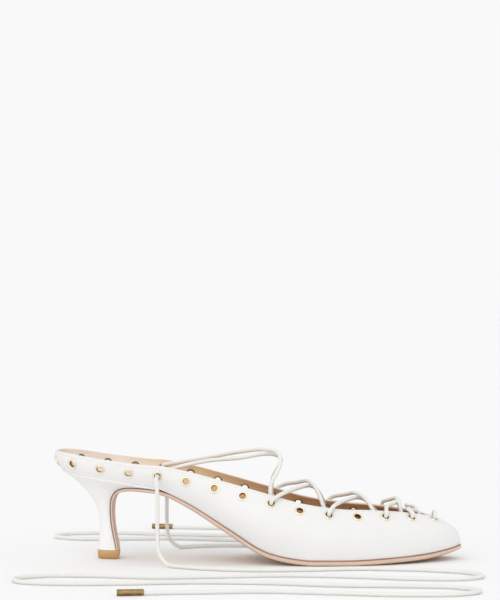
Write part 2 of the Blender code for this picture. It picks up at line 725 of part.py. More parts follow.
def add_crossing(name, routes, finish, points):
    """Two strands that cross, joined into one solid."""
    strands = []
    for number, route in enumerate(routes):
        rings = tube_rings(smooth_route(route, points), LACE / 2, LACE_SIDES)
        strands.append(add_solid(name if number == 0 else f"{name}_other", rings, finish))
    for other in strands[1:]:
        other.hide_render = True
        other.display_type = "WIRE"
        join = strands[0].modifiers.new("crossing", "BOOLEAN")
        join.operation = "UNION"
        join.object = other
    return strands[0]


def add_bar(places, spans, finish):
    """The bar across the front of the throat, between the two front eyelets."""
    last = EYELETS_A_SIDE - 1
    start = lace_start(places["outer", last], spans["outer", last], True)[:2]
    end = lace_start(places["inner", last], spans["inner", last], True)[1::-1]
    top = (start[-1] + end[0]) / 2 + UP * 0.3 * LACE
    rings = tube_rings(smooth_route(start + [top] + end, BAR_POINTS), LACE / 2, LACE_SIDES)
    return add_solid("lace_bar", rings, finish)


def add_tie(name, place, span, route, finish):
    """A tie that lies down: from inside its eyelet, down past the quarter and along the floor."""
    middle, normal, topline = place
    middle = middle - unit(topline - middle) * TIE_SAG
    straight = [middle - normal * WALL / 2, middle + normal * (span[0] + EYELET_CURL + 0.8 * LACE)]
    line = smooth_route(straight + [np.array(spot) for spot in route], TIE_POINTS)
    line[:, 2] = np.maximum(line[:, 2], TIE_REST)
    curve = bpy.data.curves.new(name, "CURVE")
    curve.dimensions = "3D"
    curve.bevel_depth = LACE / 2
    curve.bevel_resolution = 2
    curve.use_fill_caps = True
    path = curve.splines.new("POLY")
    path.points.add(len(line) - 1)
    for point, spot in zip(path.points, line):
        point.co = (*spot, 1.0)
    curve.materials.append(finish)
    made = bpy.data.objects.new(name, curve)
    bpy.context.scene.collection.objects.link(made)
    return line


def add_tip(name, line, finish):
    """The metal tip on a tie's end, in line with it and lying on the floor."""
    way = unit((line[-1] - line[-2]) * np.array([1, 1, 0]))
    start = line[-1] + way * GAP
    start[2] = TIP_DIAMETER / 2 + 0.1 * MM
    radius = TIP_DIAMETER / 2
    rings = []
    for far, share in ((0, 0.86), (0.05, 1), (0.95, 1), (1, 0.86)):
        ends = np.array([start + way * far * TIP_LENGTH - way * MM, start + way * far * TIP_LENGTH])
        rings.append(tube_rings(ends, radius * share, 10)[1])
    return add_solid(name, rings, finish)


def clear_scene():
    """An empty scene to build in."""
    for old in list(bpy.data.objects):
        bpy.data.objects.remove(old, do_unlink=True)


def build():
    """The whole shoe, piece by piece."""
    clear_scene()
    leather = material("white_leather", (0.86, 0.85, 0.83), 0.42)
    sole_leather = material("sole_leather", (0.66, 0.47, 0.36), 0.55)
    sock = material("sock_leather", (0.80, 0.66, 0.56), 0.6)
    rubber = material("top_piece_rubber", (0.45, 0.29, 0.14), 0.5)
    brass = material("pale_brass", (0.86, 0.72, 0.47), 0.28, 1.0)
    cord = material("white_cord", (0.85, 0.84, 0.80), 0.75)
    tip_metal = material("tip_metal", (0.42, 0.32, 0.16), 0.35, 1.0)

    rings = upper_rings()
    upper = add_solid("upper", rings, leather, closed=True)
    tree = BVHTree.FromPolygons(
        [v.co for v in upper.data.vertices], [tuple(f.vertices) for f in upper.data.polygons]
    )
    places = eyelet_places()
    spans = {key: wall_span(tree, middle, normal) for key, (middle, normal, _) in places.items()}
    cut_holes(upper, places)
    for (side, number), place in places.items():
        add_eyelet(f"eyelet_{side}_{number:02d}", place, spans[side, number], brass)

    heel = heel_rings()
    add_solid("heel", heel, leather, ladder=True)
    add_top_piece(rubber)
    add_outsole(heel, sole_leather)
    add_insole(sock)

    add_bar(places, spans, cord)
    for crossing in CROSSINGS:
        routes = [crossing_route(places, spans, crossing, side) for side in ("outer", "inner")]
        name = f"lace_crossing_{crossing.rear:02d}_{crossing.front:02d}"
        add_crossing(name, routes, cord, CROSSING_POINTS)
    routes = [instep_route(places, spans, side) for side in ("outer", "inner")]
    name = f"lace_crossing_{TIE_EYELET:02d}_{INSTEP_EYELET:02d}"
    add_crossing(name, routes, cord, INSTEP_POINTS)

    for side, route in (("outer", OUTER_TIE_ROUTE), ("inner", INNER_TIE_ROUTE)):
        line = add_tie(f"tie_{side}", places[side, TIE_EYELET], spans[side, TIE_EYELET], route, cord)
        add_tip(f"tie_tip_{side}", line, tip_metal)

    pieces = list(bpy.context.scene.collection.objects)
    shoe = bpy.data.objects.new("shoe", None)
    bpy.context.scene.collection.objects.link(shoe)
    for piece in pieces:
        piece.parent = shoe


build()
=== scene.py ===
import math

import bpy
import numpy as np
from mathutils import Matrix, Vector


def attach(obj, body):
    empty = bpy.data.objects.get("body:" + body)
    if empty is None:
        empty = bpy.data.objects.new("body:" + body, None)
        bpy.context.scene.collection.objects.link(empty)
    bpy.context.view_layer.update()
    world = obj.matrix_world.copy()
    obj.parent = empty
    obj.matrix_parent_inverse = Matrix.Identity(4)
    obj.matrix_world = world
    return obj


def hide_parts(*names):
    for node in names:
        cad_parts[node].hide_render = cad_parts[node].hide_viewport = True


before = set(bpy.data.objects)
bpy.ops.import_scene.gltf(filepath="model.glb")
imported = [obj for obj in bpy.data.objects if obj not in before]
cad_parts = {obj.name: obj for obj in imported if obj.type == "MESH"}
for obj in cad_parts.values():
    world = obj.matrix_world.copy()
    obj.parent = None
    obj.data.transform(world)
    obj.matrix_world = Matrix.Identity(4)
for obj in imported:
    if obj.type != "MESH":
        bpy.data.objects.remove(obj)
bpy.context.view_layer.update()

# A white lace-up kitten heel for the right foot. Lengths are in metres: +X
# runs from heel to toe, +Z up, the outer side of the foot is at -Y, and the
# origin is on the floor under the heel.


# The room. A plain white floor under an even white sky, with one broad soft
# lamp above, seen by a camera set low at the outer side of the shoe.

def new_finish(name, **constants):
    """A material with one Principled shader, whose sockets take the constants."""
    made = bpy.data.materials.new(name)
    made.use_nodes = True
    shader = made.node_tree.nodes["Principled BSDF"]
    for key, value in constants.items():
        shader.inputs[key.replace("_", " ")].default_value = value
    return made, made.node_tree, shader


def add_object(name, data):
    """An object with that data, linked into the scene."""
    made = bpy.data.objects.new(name, data)
    scene.collection.objects.link(made)
    return made


scene = bpy.context.scene
scene.view_settings.view_transform = "Standard"
scene.world = bpy.data.worlds.new("white_room")
scene.world.use_nodes = True
sky = scene.world.node_tree.nodes["Background"]
sky.inputs["Color"].default_value = (0.95, 0.95, 0.95, 1.0)
sky.inputs["Strength"].default_value = 1.0

LAMP_FROM = (-0.20, -0.90, 0.50)  # mostly from the camera's side
lamp = add_object("broad_lamp", bpy.data.lights.new("broad_lamp", "SUN"))
lamp.data.energy = 0.75
lamp.data.angle = math.radians(60)
lamp.rotation_euler = Vector(LAMP_FROM).to_track_quat("Z", "Y").to_euler()

FLOOR_REACH = 30
floor_mesh = bpy.data.meshes.new("floor")
corners = [(x * FLOOR_REACH, y * FLOOR_REACH, 0) for x, y in ((-1, -1), (1, -1), (1, 1), (-1, 1))]
floor_mesh.from_pydata(corners, [], [(0, 1, 2, 3)])
floor_white, _, _ = new_finish("floor_white", Base_Color=(0.89, 0.89, 0.89, 1.0), Roughness=0.9)
floor_mesh.materials.append(floor_white)
floor = add_object("floor", floor_mesh)

CAMERA_PLACE = (0.1284, -1.25, 0.1526)
CAMERA_YAW, CAMERA_PITCH = -0.0342, 0.0027
camera = add_object("camera", bpy.data.cameras.new("camera"))
camera.data.lens = 124.3
camera.data.clip_end = 200
camera.location = CAMERA_PLACE
sight = Vector(
    (
        math.sin(CAMERA_YAW) * math.cos(CAMERA_PITCH),
        math.cos(CAMERA_YAW) * math.cos(CAMERA_PITCH),
        math.sin(CAMERA_PITCH),
    )
)
camera.rotation_euler = sight.to_track_quat("-Z", "Y").to_euler()
scene.camera = camera


# The ties. The two free ends of one round braided cotton lace, about a metre
# each, pulled out through the fifth eyelet on each side and laid loose on the
# floor. Each ends in a knurled metal tip, crimped on.

LACE = 0.0024
TIE_REST = 0.0014  # height of a tie's middle where it lies
# Each tie starts inside its eyelet's barrel and then falls to the floor, with
# the fall's second place measured outwards from the shoe's middle.
TIE_STARTS = {
    "outer": [(0.03181, -0.02523, 0.05162), (0.03159, -0.02862, 0.05112)],
    "inner": [(0.03117, 0.02421, 0.05215), (0.03100, 0.02725, 0.05056)],
}
TIE_FALL = [
    (0.0316, 0.0342, 0.0500),
    (0.0324, 0.0368, 0.0430),
    (0.0326, 0.0372, 0.0320),
    (0.0326, 0.0374, 0.0190),
    (0.0340, 0.0396, 0.0076),
]
OUTER_TIE_ON_FLOOR = [
    (0.0405, -0.0465), (0.056, -0.056), (0.084, -0.064), (0.118, -0.062),
    (0.152, -0.056), (0.186, -0.060), (0.212, -0.072), (0.219, -0.087),
    (0.206, -0.099), (0.176, -0.098), (0.142, -0.090), (0.106, -0.087),
    (0.070, -0.093), (0.034, -0.098), (0.000, -0.092), (-0.026, -0.093),
    (-0.041, -0.105), (-0.037, -0.119), (-0.012, -0.126), (0.024, -0.123),
    (0.060, -0.117), (0.098, -0.119), (0.136, -0.127), (0.172, -0.129),
    (0.200, -0.133), (0.213, -0.146), (0.203, -0.159), (0.172, -0.163),
    (0.136, -0.158), (0.100, -0.153), (0.064, -0.157), (0.034, -0.162),
]
INNER_TIE_ON_FLOOR = [
    (0.0405, 0.0465), (0.058, 0.055), (0.090, 0.057), (0.124, 0.053),
    (0.158, 0.056), (0.190, 0.062), (0.212, 0.076), (0.208, 0.092),
    (0.180, 0.099), (0.146, 0.092), (0.110, 0.084), (0.074, 0.086),
    (0.038, 0.095), (0.002, 0.092), (-0.028, 0.091), (-0.045, 0.103),
    (-0.041, 0.119), (-0.016, 0.126), (0.020, 0.122), (0.056, 0.115),
    (0.094, 0.116), (0.132, 0.124), (0.168, 0.128), (0.196, 0.134),
    (0.209, 0.147), (0.198, 0.160), (0.166, 0.164), (0.130, 0.158),
    (0.094, 0.153), (0.058, 0.158), (0.026, 0.163),
]
TIP_RADIUS = 0.0017
TIP_LENGTH = 0.013
TIP_LAP = 0.0012  # of the tip back over the tie
TIP_SIDES = 72
KNURLS = 6  # grooves half way round the tip, each way
KNURL_SLANT = 13  # grooves of one set that a line along the tip meets
KNURL_DEPTH = 0.07  # as a share of the radius
SMOOTH_BELOW = math.radians(50)  # edges sharper than this stay edges
UP = np.array([0.0, 0.0, 1.0])


def unit(vectors):
    """The vectors, each at length one."""
    return vectors / np.linalg.norm(vectors, axis=-1, keepdims=True)


def smooth_route(points, count):
    """A curve through the points: cubic between neighbours, with the slopes shared,
    and read at even steps of the summed square roots of their distances."""
    points = np.asarray(points, float)
    steps = np.linalg.norm(np.diff(points, axis=0), axis=1)
    knots = np.concatenate([[0], np.cumsum(np.sqrt(steps))])
    spans = np.diff(knots)
    rates = np.diff(points, axis=0) / spans[:, None]
    before, after = spans[:-1, None], spans[1:, None]
    shared = (rates[:-1] * after + rates[1:] * before) / (before + after)
    slopes = np.concatenate([rates[:1], shared, rates[-1:]])
    fine = np.linspace(0, knots[-1], count)
    i = np.clip(np.searchsorted(knots, fine, side="right") - 1, 0, len(spans) - 1)
    span = spans[i][:, None]
    s = (fine - knots[i])[:, None] / span
    return (
        (2 * s**3 - 3 * s**2 + 1) * points[i]
        + (s**3 - 2 * s**2 + s) * span * slopes[i]
        + (3 * s**2 - 2 * s**3) * points[i + 1]
        + (s**3 - s**2) * span * slopes[i + 1]
    )


def carried_frames(line):
    """Along, side and over directions at each point of a line, without a twist: a
    side square to one fixed direction, turned back by the running sum of how far
    it has turned from the one carried on from the point before."""
    along = unit(np.gradient(line, axis=0))
    side = unit(np.cross(along, [0.31, 0.23, 0.92]))
    over = np.cross(along, side)
    before, after = along[:-1], along[1:]
    share = (side[:-1] * after).sum(1) / (1 + (before * after).sum(1))
    carried = side[:-1] - share[:, None] * (before + after)
    turns = np.arctan2((carried * over[1:]).sum(1), (carried * side[1:]).sum(1))
    twist = np.concatenate([[0], np.cumsum(turns)])[:, None]
    return along, np.cos(twist) * side + np.sin(twist) * over, np.cos(twist) * over - np.sin(twist) * side


def tube_points(line, radii, sides):
    """Rings of points round a line, rows by sides: its point plus a radius turned
    once round from the side direction towards the over direction."""
    _, side, over = carried_frames(line)
    angle = np.arange(sides) * 2 * math.pi / sides
    radii = np.broadcast_to(radii, (len(line), sides))[:, :, None]
    ring = np.cos(angle)[None, :, None] * side[:, None] + np.sin(angle)[None, :, None] * over[:, None]
    return line[:, None] + radii * ring


def run_along(line):
    """How far along a line each of its points lies: the running sum of its steps."""
    return np.concatenate([[0], np.cumsum(np.linalg.norm(np.diff(line, axis=0), axis=1))])


def tube_places(line, sides, radius):
    """Places on a cord's pattern: once round it, and along it in girths."""
    girths = run_along(line) / (2 * math.pi * radius)
    round_it, along_it = np.meshgrid(np.linspace(0, 1, sides + 1), girths)
    return np.stack([round_it, along_it], axis=2)


def cells(grid):
    """The four corners of each cell of a grid of numbers, one row to a cell."""
    corners = [grid[:-1, :-1], grid[:-1, 1:], grid[1:, 1:], grid[1:, :-1]]
    return np.stack(corners, axis=2).reshape(-1, 4)


def add_skin(name, points, finish, loop=False, places=None, slots=None):
    """A closed skin on a grid of points, rows by columns, each row joined round.

    One face lies between each four neighbours. The last row joins the first if
    loop, and otherwise each end is closed by one face. places holds the
    pattern's places, one column more than points, and slots the material
    number of each column.
    """
    rows, columns = points.shape[:2]
    spots = points.reshape(-1, 3)
    grid = np.arange(rows * columns).reshape(rows, columns)
    grid = np.concatenate([grid, grid[:, :1]], axis=1)
    if loop:
        grid = np.concatenate([grid, grid[:1]])
    quads = cells(grid)
    a, b, c, d = (spots[quads[:, k]] - spots.mean(axis=0) for k in range(4))
    inside_out = (a * (np.cross(b, c) + np.cross(c, d))).sum() < 0
    faces = quads.tolist()
    if not loop:
        faces += [list(range(columns))[::-1], list(range((rows - 1) * columns, rows * columns))]
    if inside_out:
        faces = [face[::-1] for face in faces]
    mesh = bpy.data.meshes.new(name)
    mesh.from_pydata(spots.tolist(), [], faces)
    if places is not None:
        mark = np.arange(rows * (columns + 1)).reshape(rows, columns + 1)
        marks = cells(mark)
        ends = np.concatenate([mark[0, :-1][::-1], mark[-1, :-1]])
        if inside_out:
            marks = marks[:, ::-1]
            ends = np.concatenate([mark[0, :-1], mark[-1, :-1][::-1]])
        flat = places.reshape(-1, 2)[np.concatenate([marks.ravel(), ends])]
        mesh.uv_layers.new(name="pattern").data.foreach_set("uv", flat.ravel())
    for each in finish if isinstance(finish, list) else [finish]:
        mesh.materials.append(each)
    if slots is not None:
        wide = np.tile(np.asarray(slots), len(quads) // columns)
        mesh.polygons.foreach_set("material_index", wide)
    mesh.shade_smooth()
    mesh.set_sharp_from_angle(angle=SMOOTH_BELOW)
    made = add_object(name, mesh)
    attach(made, "root")
    return made


def node(tree, kind, inputs=(), **settings):
    """A shader node with its settings, each input a constant or another node's output."""
    made = tree.nodes.new(kind)
    for key, value in settings.items():
        setattr(made, key, value)
    for key, value in dict(inputs).items():
        if isinstance(value, bpy.types.NodeSocket):
            tree.links.new(value, made.inputs[key])
        else:
            made.inputs[key].default_value = value
    return made


def calc(tree, operation, *values):
    """The result of one arithmetic node."""
    return node(tree, "ShaderNodeMath", enumerate(values), operation=operation).outputs[0]


def new_group(name, takes, gives):
    """A shader node group with its inputs and outputs, and its two end nodes."""
    group = bpy.data.node_groups.new(name, "ShaderNodeTree")
    for way, sockets in (("INPUT", takes), ("OUTPUT", gives)):
        for label, kind in sockets.items():
            group.interface.new_socket(label, in_out=way, socket_type="NodeSocket" + kind)
    return group, group.nodes.new("NodeGroupInput"), group.nodes.new("NodeGroupOutput")


BRAID_STRETCH = 0.7  # of a strand's diamond along the cord


def braid_group():
    """Strands wound both ways round a cord, over and under by turns.

    Two counts run slantwise over the cord, one each way. In each diamond
    between whole numbers one strand lies on top, by whether the two numbers
    add up to an odd or an even one, with a rounded height across it that
    sinks a little at both ends.
    """
    group, given, result = new_group(
        "braid", {"Place": "Vector", "Strands": "Float"}, {"Height": "Float", "Painted_Groove_Shade": "Float"}
    )
    split = node(group, "ShaderNodeSeparateXYZ", {0: given.outputs["Place"]})
    across = calc(group, "MULTIPLY", split.outputs[0], given.outputs["Strands"])
    ahead = calc(group, "MULTIPLY", split.outputs[1], given.outputs["Strands"])
    ahead = calc(group, "MULTIPLY", ahead, BRAID_STRETCH)
    humps, whole = [], []
    for way in ("ADD", "SUBTRACT"):
        count = calc(group, way, across, ahead)
        whole.append(calc(group, "FLOOR", count))
        half_turn = calc(group, "MULTIPLY", calc(group, "FRACT", count), math.pi)
        humps.append(calc(group, "SINE", half_turn))
    odd = calc(group, "FLOORED_MODULO", calc(group, "ADD", *whole), 2.0)
    even = calc(group, "SUBTRACT", 1.0, odd)
    tops = []
    for (first, other), shows in ((humps, odd), (humps[::-1], even)):
        strand = calc(group, "MULTIPLY", first, calc(group, "MULTIPLY_ADD", other, 0.45, 0.55))
        tops.append(calc(group, "MULTIPLY", strand, shows))
    height = calc(group, "ADD", *tops)
    group.links.new(height, result.inputs["Height"])
    # The groove share is high in the hollows between the strands, where the cord's colour is darkened as
    # painted shade.
    groove_shade = calc(group, "POWER", calc(group, "SUBTRACT", 1.0, height), 2.0)
    group.links.new(groove_shade, result.inputs["Painted_Groove_Shade"])
    return group


def patches_group():
    """Soft uneven patches: slow noise over a faster one, from 0 to 1."""
    group, given, result = new_group(
        "patches", {"Place": "Vector", "Size": "Float"}, {"Broad": "Float", "Fine": "Float"}
    )
    scale = calc(group, "DIVIDE", 1.0, given.outputs["Size"])
    for label, times in (("Broad", 1.0), ("Fine", 9.0)):
        finer = calc(group, "MULTIPLY", scale, times)
        spots = {"Vector": given.outputs["Place"], "Scale": finer, "Detail": 4.0}
        noise = node(group, "ShaderNodeTexNoise", spots)
        spread = node(group, "ShaderNodeMapRange", {0: noise.outputs["Fac"], 1: 0.3, 2: 0.7})
        group.links.new(spread.outputs[0], result.inputs[label])
    return group


def use(tree, group, **inputs):
    """A group placed in a material with its own values."""
    placed = tree.nodes.new("ShaderNodeGroup")
    placed.node_tree = group
    for key, value in inputs.items():
        if isinstance(value, bpy.types.NodeSocket):
            tree.links.new(value, placed.inputs[key])
        else:
            placed.inputs[key].default_value = value
    return placed.outputs


def blend(tree, share, first, second):
    """A colour from first to second by share."""
    mix = node(tree, "ShaderNodeMix", {0: share}, data_type="RGBA")
    for socket, colour in ((mix.inputs[6], first), (mix.inputs[7], second)):
        if isinstance(colour, bpy.types.NodeSocket):
            tree.links.new(colour, socket)
        else:
            socket.default_value = (*colour, 1.0)
    return mix.outputs[2]


def raised(tree, shader, height, depth):
    """A relief of that depth on the shader's normal."""
    bump = node(tree, "ShaderNodeBump", {"Height": height, "Distance": depth, "Strength": 1.0})
    tree.links.new(bump.outputs[0], shader.inputs["Normal"])


BRAID = braid_group()
PATCHES = patches_group()


def patched_finish(name, size, **constants):
    """A finish with soft patches of that size, and the outputs that it reads."""
    made, tree, shader = new_finish(name, **constants)
    places = node(tree, "ShaderNodeTexCoord").outputs
    return made, tree, shader, places, use(tree, PATCHES, Place=places["Object"], Size=size)


def feed(tree, shader, **sources):
    """Links each source to the shader's socket of that name."""
    for key, source in sources.items():
        tree.links.new(source, shader.inputs[key.replace("_", " ")])


cord_white, tree, shader, places, shade = patched_finish(
    "cord_white", 0.02, Roughness=0.78, Sheen_Weight=0.25, Sheen_Roughness=0.5
)
strands = use(tree, BRAID, Place=places["UV"], Strands=6.0)
worn = blend(tree, shade["Broad"], (0.90, 0.89, 0.86), (0.86, 0.85, 0.81))
# The braid's grooves are darkened in colour: painted shade between the strands.
feed(tree, shader, Base_Color=blend(tree, strands["Painted_Groove_Shade"], worn, (0.72, 0.70, 0.65)))
raised(tree, shader, calc(tree, "MULTIPLY_ADD", shade["Fine"], 0.15, strands["Height"]), 0.00016)


def metal(name, size, bright, dark, least, spread, relief=0.0):
    """A metal in soft patches of two colours, and as rough as the least plus a share
    of the spread."""
    made, tree, shader, _, shade = patched_finish(name, size, Metallic=1.0)
    feed(
        tree,
        shader,
        Base_Color=blend(tree, shade["Broad"], bright, dark),
        Roughness=calc(tree, "MULTIPLY_ADD", shade["Fine"], spread, least),
    )
    if relief:
        raised(tree, shader, shade["Fine"], relief)
    return made


tip_gold = metal("tip_antique_gold", 0.004, (0.42, 0.29, 0.13), (0.24, 0.15, 0.06), 0.25, 0.2)


def add_tip(name, line, finish):
    """The tip on a tie's end: a tube whose wall is cut by two sets of slanting
    grooves, the lower of |sin| along each, between two plain rims."""
    way = unit((line[-1] - line[-2]) * np.array([1, 1, 0]))
    mouth = line[-1] - way * TIP_LAP
    mouth[2] = TIP_RADIUS + 0.0001
    along = np.concatenate([[0.0, 0.0, 0.02, 0.05], np.linspace(0.08, 0.92, 91), [0.95, 0.98, 1.0, 1.0]])
    size = np.concatenate([[0.74, 0.92, 1.0, 1.0], np.ones(91), [1.0, 1.0, 0.92, 0.1]])
    spine = mouth + way * (along * (TIP_LENGTH + TIP_LAP))[:, None]
    # A millionth of a metre keeps the rings of each flat end apart.
    spine += way * np.linspace(-1e-6, 1e-6, len(along))[:, None]
    angle = np.arange(TIP_SIDES) * 2 * math.pi / TIP_SIDES
    slant = along[:, None] * KNURL_SLANT * math.pi
    left, right = np.abs(np.sin(KNURLS * angle + slant)), np.abs(np.sin(KNURLS * angle - slant))
    grooves = np.minimum(np.minimum(left, right) * 2.2, 1.0)
    knurled = (along > 0.079) & (along < 0.921)
    cut = np.where(knurled, KNURL_DEPTH, 0.0)[:, None] * (1 - grooves)
    ring = np.cos(angle)[:, None] * np.cross(way, UP) + np.sin(angle)[:, None] * UP
    radii = TIP_RADIUS * (size[:, None] - cut)
    return add_skin(name, spine[:, None] + radii[:, :, None] * ring[None], finish)


def add_cord(name, line, sides):
    """The braided cord along a line, with its pattern."""
    places = tube_places(line, sides, LACE / 2)
    return add_skin(name, tube_points(line, LACE / 2, sides), cord_white, places=places)


for side, out, flat in (("outer", -1, OUTER_TIE_ON_FLOOR), ("inner", 1, INNER_TIE_ON_FLOOR)):
    route = TIE_STARTS[side] + [(x, out * y, z) for x, y, z in TIE_FALL]
    route += [(x, y, TIE_REST) for x, y in flat]
    line = smooth_route(route, 900)
    line[:, 2] = np.maximum(line[:, 2], TIE_REST)
    tie = add_cord(f"braided_tie_{side}", line, 12)
    tip = add_tip(f"knurled_tip_{side}", line, tip_gold)
    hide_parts(f"tie_{side}")
    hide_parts(f"tie_tip_{side}")


# The insole. A board cut to the last's own outline, on which the upper is
# drawn down, under a sock of soft kid that is glued in and shows at the heel.

LENGTH = 0.248  # back of the collar to the tip of the toe
BALL_WIDTH = 0.077
SEAT_HEIGHT = 0.0539
TOE_SPRING = 0.0055
QUARTER_HEIGHT = 0.034
SOLE_THICKNESS = 0.0032
HEEL_SETBACK = 0.0334
GAP = 0.0003
WALL = 0.0018

# One row for each rib of the wall, from the back of the heel to the toe: the
# foot's place along, its outer and inner half width, its rise and toe spring,
# the topline's place along and two half widths, the wall's height, and how
# far the wall leans in at the top and flares at the foot, in degrees. Places
# along are shares of LENGTH, widths of BALL_WIDTH, the rise of the seat's height,
# the spring of TOE_SPRING and the wall's height of QUARTER_HEIGHT.
RIBS = [
    (0.022, 0.000, 0.000, 1.000, 0.00, 0.006, 0.000, 0.000, 0.340, 14, 46),
    (0.036, 0.156, 0.156, 0.988, 0.00, 0.018, 0.169, 0.169, 0.353, 12, 42),
    (0.073, 0.253, 0.253, 0.956, 0.00, 0.058, 0.279, 0.279, 0.362, 9, 36),
    (0.137, 0.299, 0.292, 0.911, 0.00, 0.133, 0.331, 0.331, 0.341, 7, 28),
    (0.222, 0.305, 0.279, 0.843, 0.00, 0.222, 0.338, 0.338, 0.362, 8, 24),
    (0.274, 0.305, 0.253, 0.779, 0.00, 0.274, 0.338, 0.338, 0.430, 10, 26),
    (0.347, 0.325, 0.227, 0.605, 0.00, 0.347, 0.344, 0.331, 0.580, 15, 28),
    (0.435, 0.383, 0.240, 0.341, 0.00, 0.427, 0.364, 0.338, 0.820, 24, 28),
    (0.524, 0.455, 0.305, 0.091, 0.00, 0.512, 0.377, 0.351, 1.020, 36, 22),
    (0.625, 0.494, 0.416, 0.000, 0.00, 0.605, 0.370, 0.357, 0.965, 46, 14),
    (0.726, 0.474, 0.468, 0.000, 0.00, 0.694, 0.331, 0.338, 0.860, 50, 10),
    (0.823, 0.377, 0.416, 0.000, 0.16, 0.774, 0.260, 0.286, 0.800, 55, 10),
    (0.903, 0.240, 0.312, 0.000, 0.38, 0.843, 0.169, 0.214, 0.718, 62, 12),
    (0.966, 0.078, 0.182, 0.000, 0.75, 0.895, 0.058, 0.136, 0.590, 70, 14),
    (0.990, -0.052, 0.052, 0.000, 1.00, 0.917, -0.039, 0.039, 0.510, 72, 12),
]
TOE = len(RIBS) - 1
ROUND = 2 * TOE


def spline(rows, at, closed=False):
    """Catmull-Rom curve through rows, read at row numbers, whole or not."""
    rows = np.asarray(rows, float)
    last = len(rows) - 1
    at = np.atleast_1d(np.asarray(at, float))
    at = at if closed else np.clip(at, 0, last)
    first = np.floor(at).astype(int) if closed else np.minimum(np.floor(at).astype(int), last - 1)
    step = (at - first)[:, None]
    near = [first + k for k in (-1, 0, 1, 2)]
    near = [each % len(rows) if closed else np.clip(each, 0, last) for each in near]
    a, b, c, d = (rows[each] for each in near)
    return b + 0.5 * step * (c - a + step * (2 * a - 5 * b + 4 * c - d + step * (3 * (b - c) + d - a)))


def rib_rows():
    """The ribs all round the shoe: out along the outer side and back along the inner."""
    table = np.array(RIBS, float)
    halves = []
    for rows, side in ((table, -1), (table[-2:0:-1], 1)):
        along, outer, inner, rise, spring, top_along, top_outer, top_inner, wall, lean, flare = rows.T
        foot_height = SOLE_THICKNESS + GAP + spring * TOE_SPRING
        foot_height += rise * (SEAT_HEIGHT - SOLE_THICKNESS - GAP)
        halves.append(
            np.stack(
                [
                    along * LENGTH - HEEL_SETBACK,
                    side * (inner if side > 0 else outer) * BALL_WIDTH,
                    foot_height,
                    top_along * LENGTH - HEEL_SETBACK,
                    side * (top_inner if side > 0 else top_outer) * BALL_WIDTH,
                    foot_height + wall * QUARTER_HEIGHT,
                    np.radians(lean),
                    np.radians(flare),
                ],
                axis=1,
            )
        )
    return np.concatenate(halves)


RIB_ROWS = rib_rows()


def ribs(at):
    """Foot, topline, outward direction, lean and flare at places round the shoe.
    Outward is level, and square to the foot's and the topline's mean run."""
    rows = spline(RIB_ROWS, at, closed=True)
    ahead = spline(RIB_ROWS, np.asarray(at) + 0.05, closed=True)
    behind = spline(RIB_ROWS, np.asarray(at) - 0.05, closed=True)
    along = unit((ahead - behind)[:, [0, 1]]) + unit((ahead - behind)[:, [3, 4]])
    out = unit(np.stack([along[:, 1], -along[:, 0], np.zeros(len(along))], axis=1))
    foot, top = rows[:, 0:3].copy(), rows[:, 3:6]
    foot[:, 2] = np.maximum(foot[:, 2], SOLE_THICKNESS + GAP)
    return foot, top, out, rows[:, 6], rows[:, 7]


def strip_rings(outer, inner, down, thick, shape, steps=12):
    """Sections of a strip between two edges, one to a row: down the outer edge by
    the shape's (share in, share of thickness) pairs, across, up the inner edge
    and back across the top."""
    inward = unit(inner - outer)
    width = np.linalg.norm(inner - outer, axis=1)[:, None]
    shape = np.asarray(shape)
    inset = np.minimum(shape[None, :, 0] * thick[:, None], 0.42 * width)[:, :, None]
    drop = (shape[None, :, 1] * thick[:, None])[:, :, None] * down[:, None]
    left = outer[:, None] + inset * inward[:, None] + drop
    right = inner[:, None] - inset * inward[:, None] + drop
    share = np.linspace(0, 1, steps + 2)[None, 1:-1, None]
    low = left[:, -1:] + share * (right[:, -1:] - left[:, -1:])
    high = right[:, :1] + share * (left[:, :1] - right[:, :1])
    return np.concatenate([left, low, right[:, ::-1], high], axis=1)


INSOLE_THICKNESS = 0.0022
INSOLE_CLEARANCE = 0.0006
# Sections from near the heel's back to near the toe, closer at the heel.
at = np.concatenate([np.linspace(0.16, 4, 60), np.linspace(4.05, 13.78, 150)])
edges = []
for places in (at, ROUND - at):
    foot, _, out, _, flare = ribs(places)
    edges.append(foot - out * (WALL / np.cos(flare) + INSOLE_CLEARANCE)[:, None])
outer, inner = edges
outer[:, 0] = inner[:, 0] = (outer[:, 0] + inner[:, 0]) / 2
down = np.tile(-UP, (len(at), 1))
outer += UP * INSOLE_THICKNESS
inner += UP * INSOLE_THICKNESS
rounded = [(0.30, 0.0), (0.12, 0.06), (0.02, 0.22), (0.0, 0.45), (0.0, 1.0)]
sections = strip_rings(outer, inner, down, np.full(len(at), INSOLE_THICKNESS), rounded)


def way_along(tree, places, axis, start, end):
    """How far places lie on the way from start to end along one axis, from 0 to 1."""
    split = node(tree, "ShaderNodeSeparateXYZ", {0: places["Object"]})
    return node(tree, "ShaderNodeMapRange", {0: split.outputs[axis], 1: start, 2: end}).outputs[0]


sock_kid, tree, shader, places, shade = patched_finish(
    "sock_kid", 0.03, Sheen_Weight=0.2, Sheen_Roughness=0.6
)
# The kid is pale. Its darkening towards the front is painted shade inside the front of the shoe.
forward_tone_and_shade = way_along(tree, places, 0, 0.020, 0.040)
fresh = blend(tree, forward_tone_and_shade, (0.80, 0.66, 0.57), (0.55, 0.36, 0.22))
pressed = blend(tree, forward_tone_and_shade, (0.72, 0.57, 0.48), (0.44, 0.27, 0.15))
feed(
    tree,
    shader,
    Base_Color=blend(tree, shade["Broad"], fresh, pressed),
    Roughness=calc(tree, "MULTIPLY_ADD", shade["Broad"], 0.15, 0.5),
)
raised(tree, shader, shade["Fine"], 0.00006)

insole = add_skin("insole_and_sock", sections, sock_kid)
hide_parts("insole")


# The upper. One piece of white calf with a rounded, turned topline and a tan
# kid lining glued inside it, drawn down over the last and creased where it
# was pulled. A fine row of stitches holds the two together at the topline.

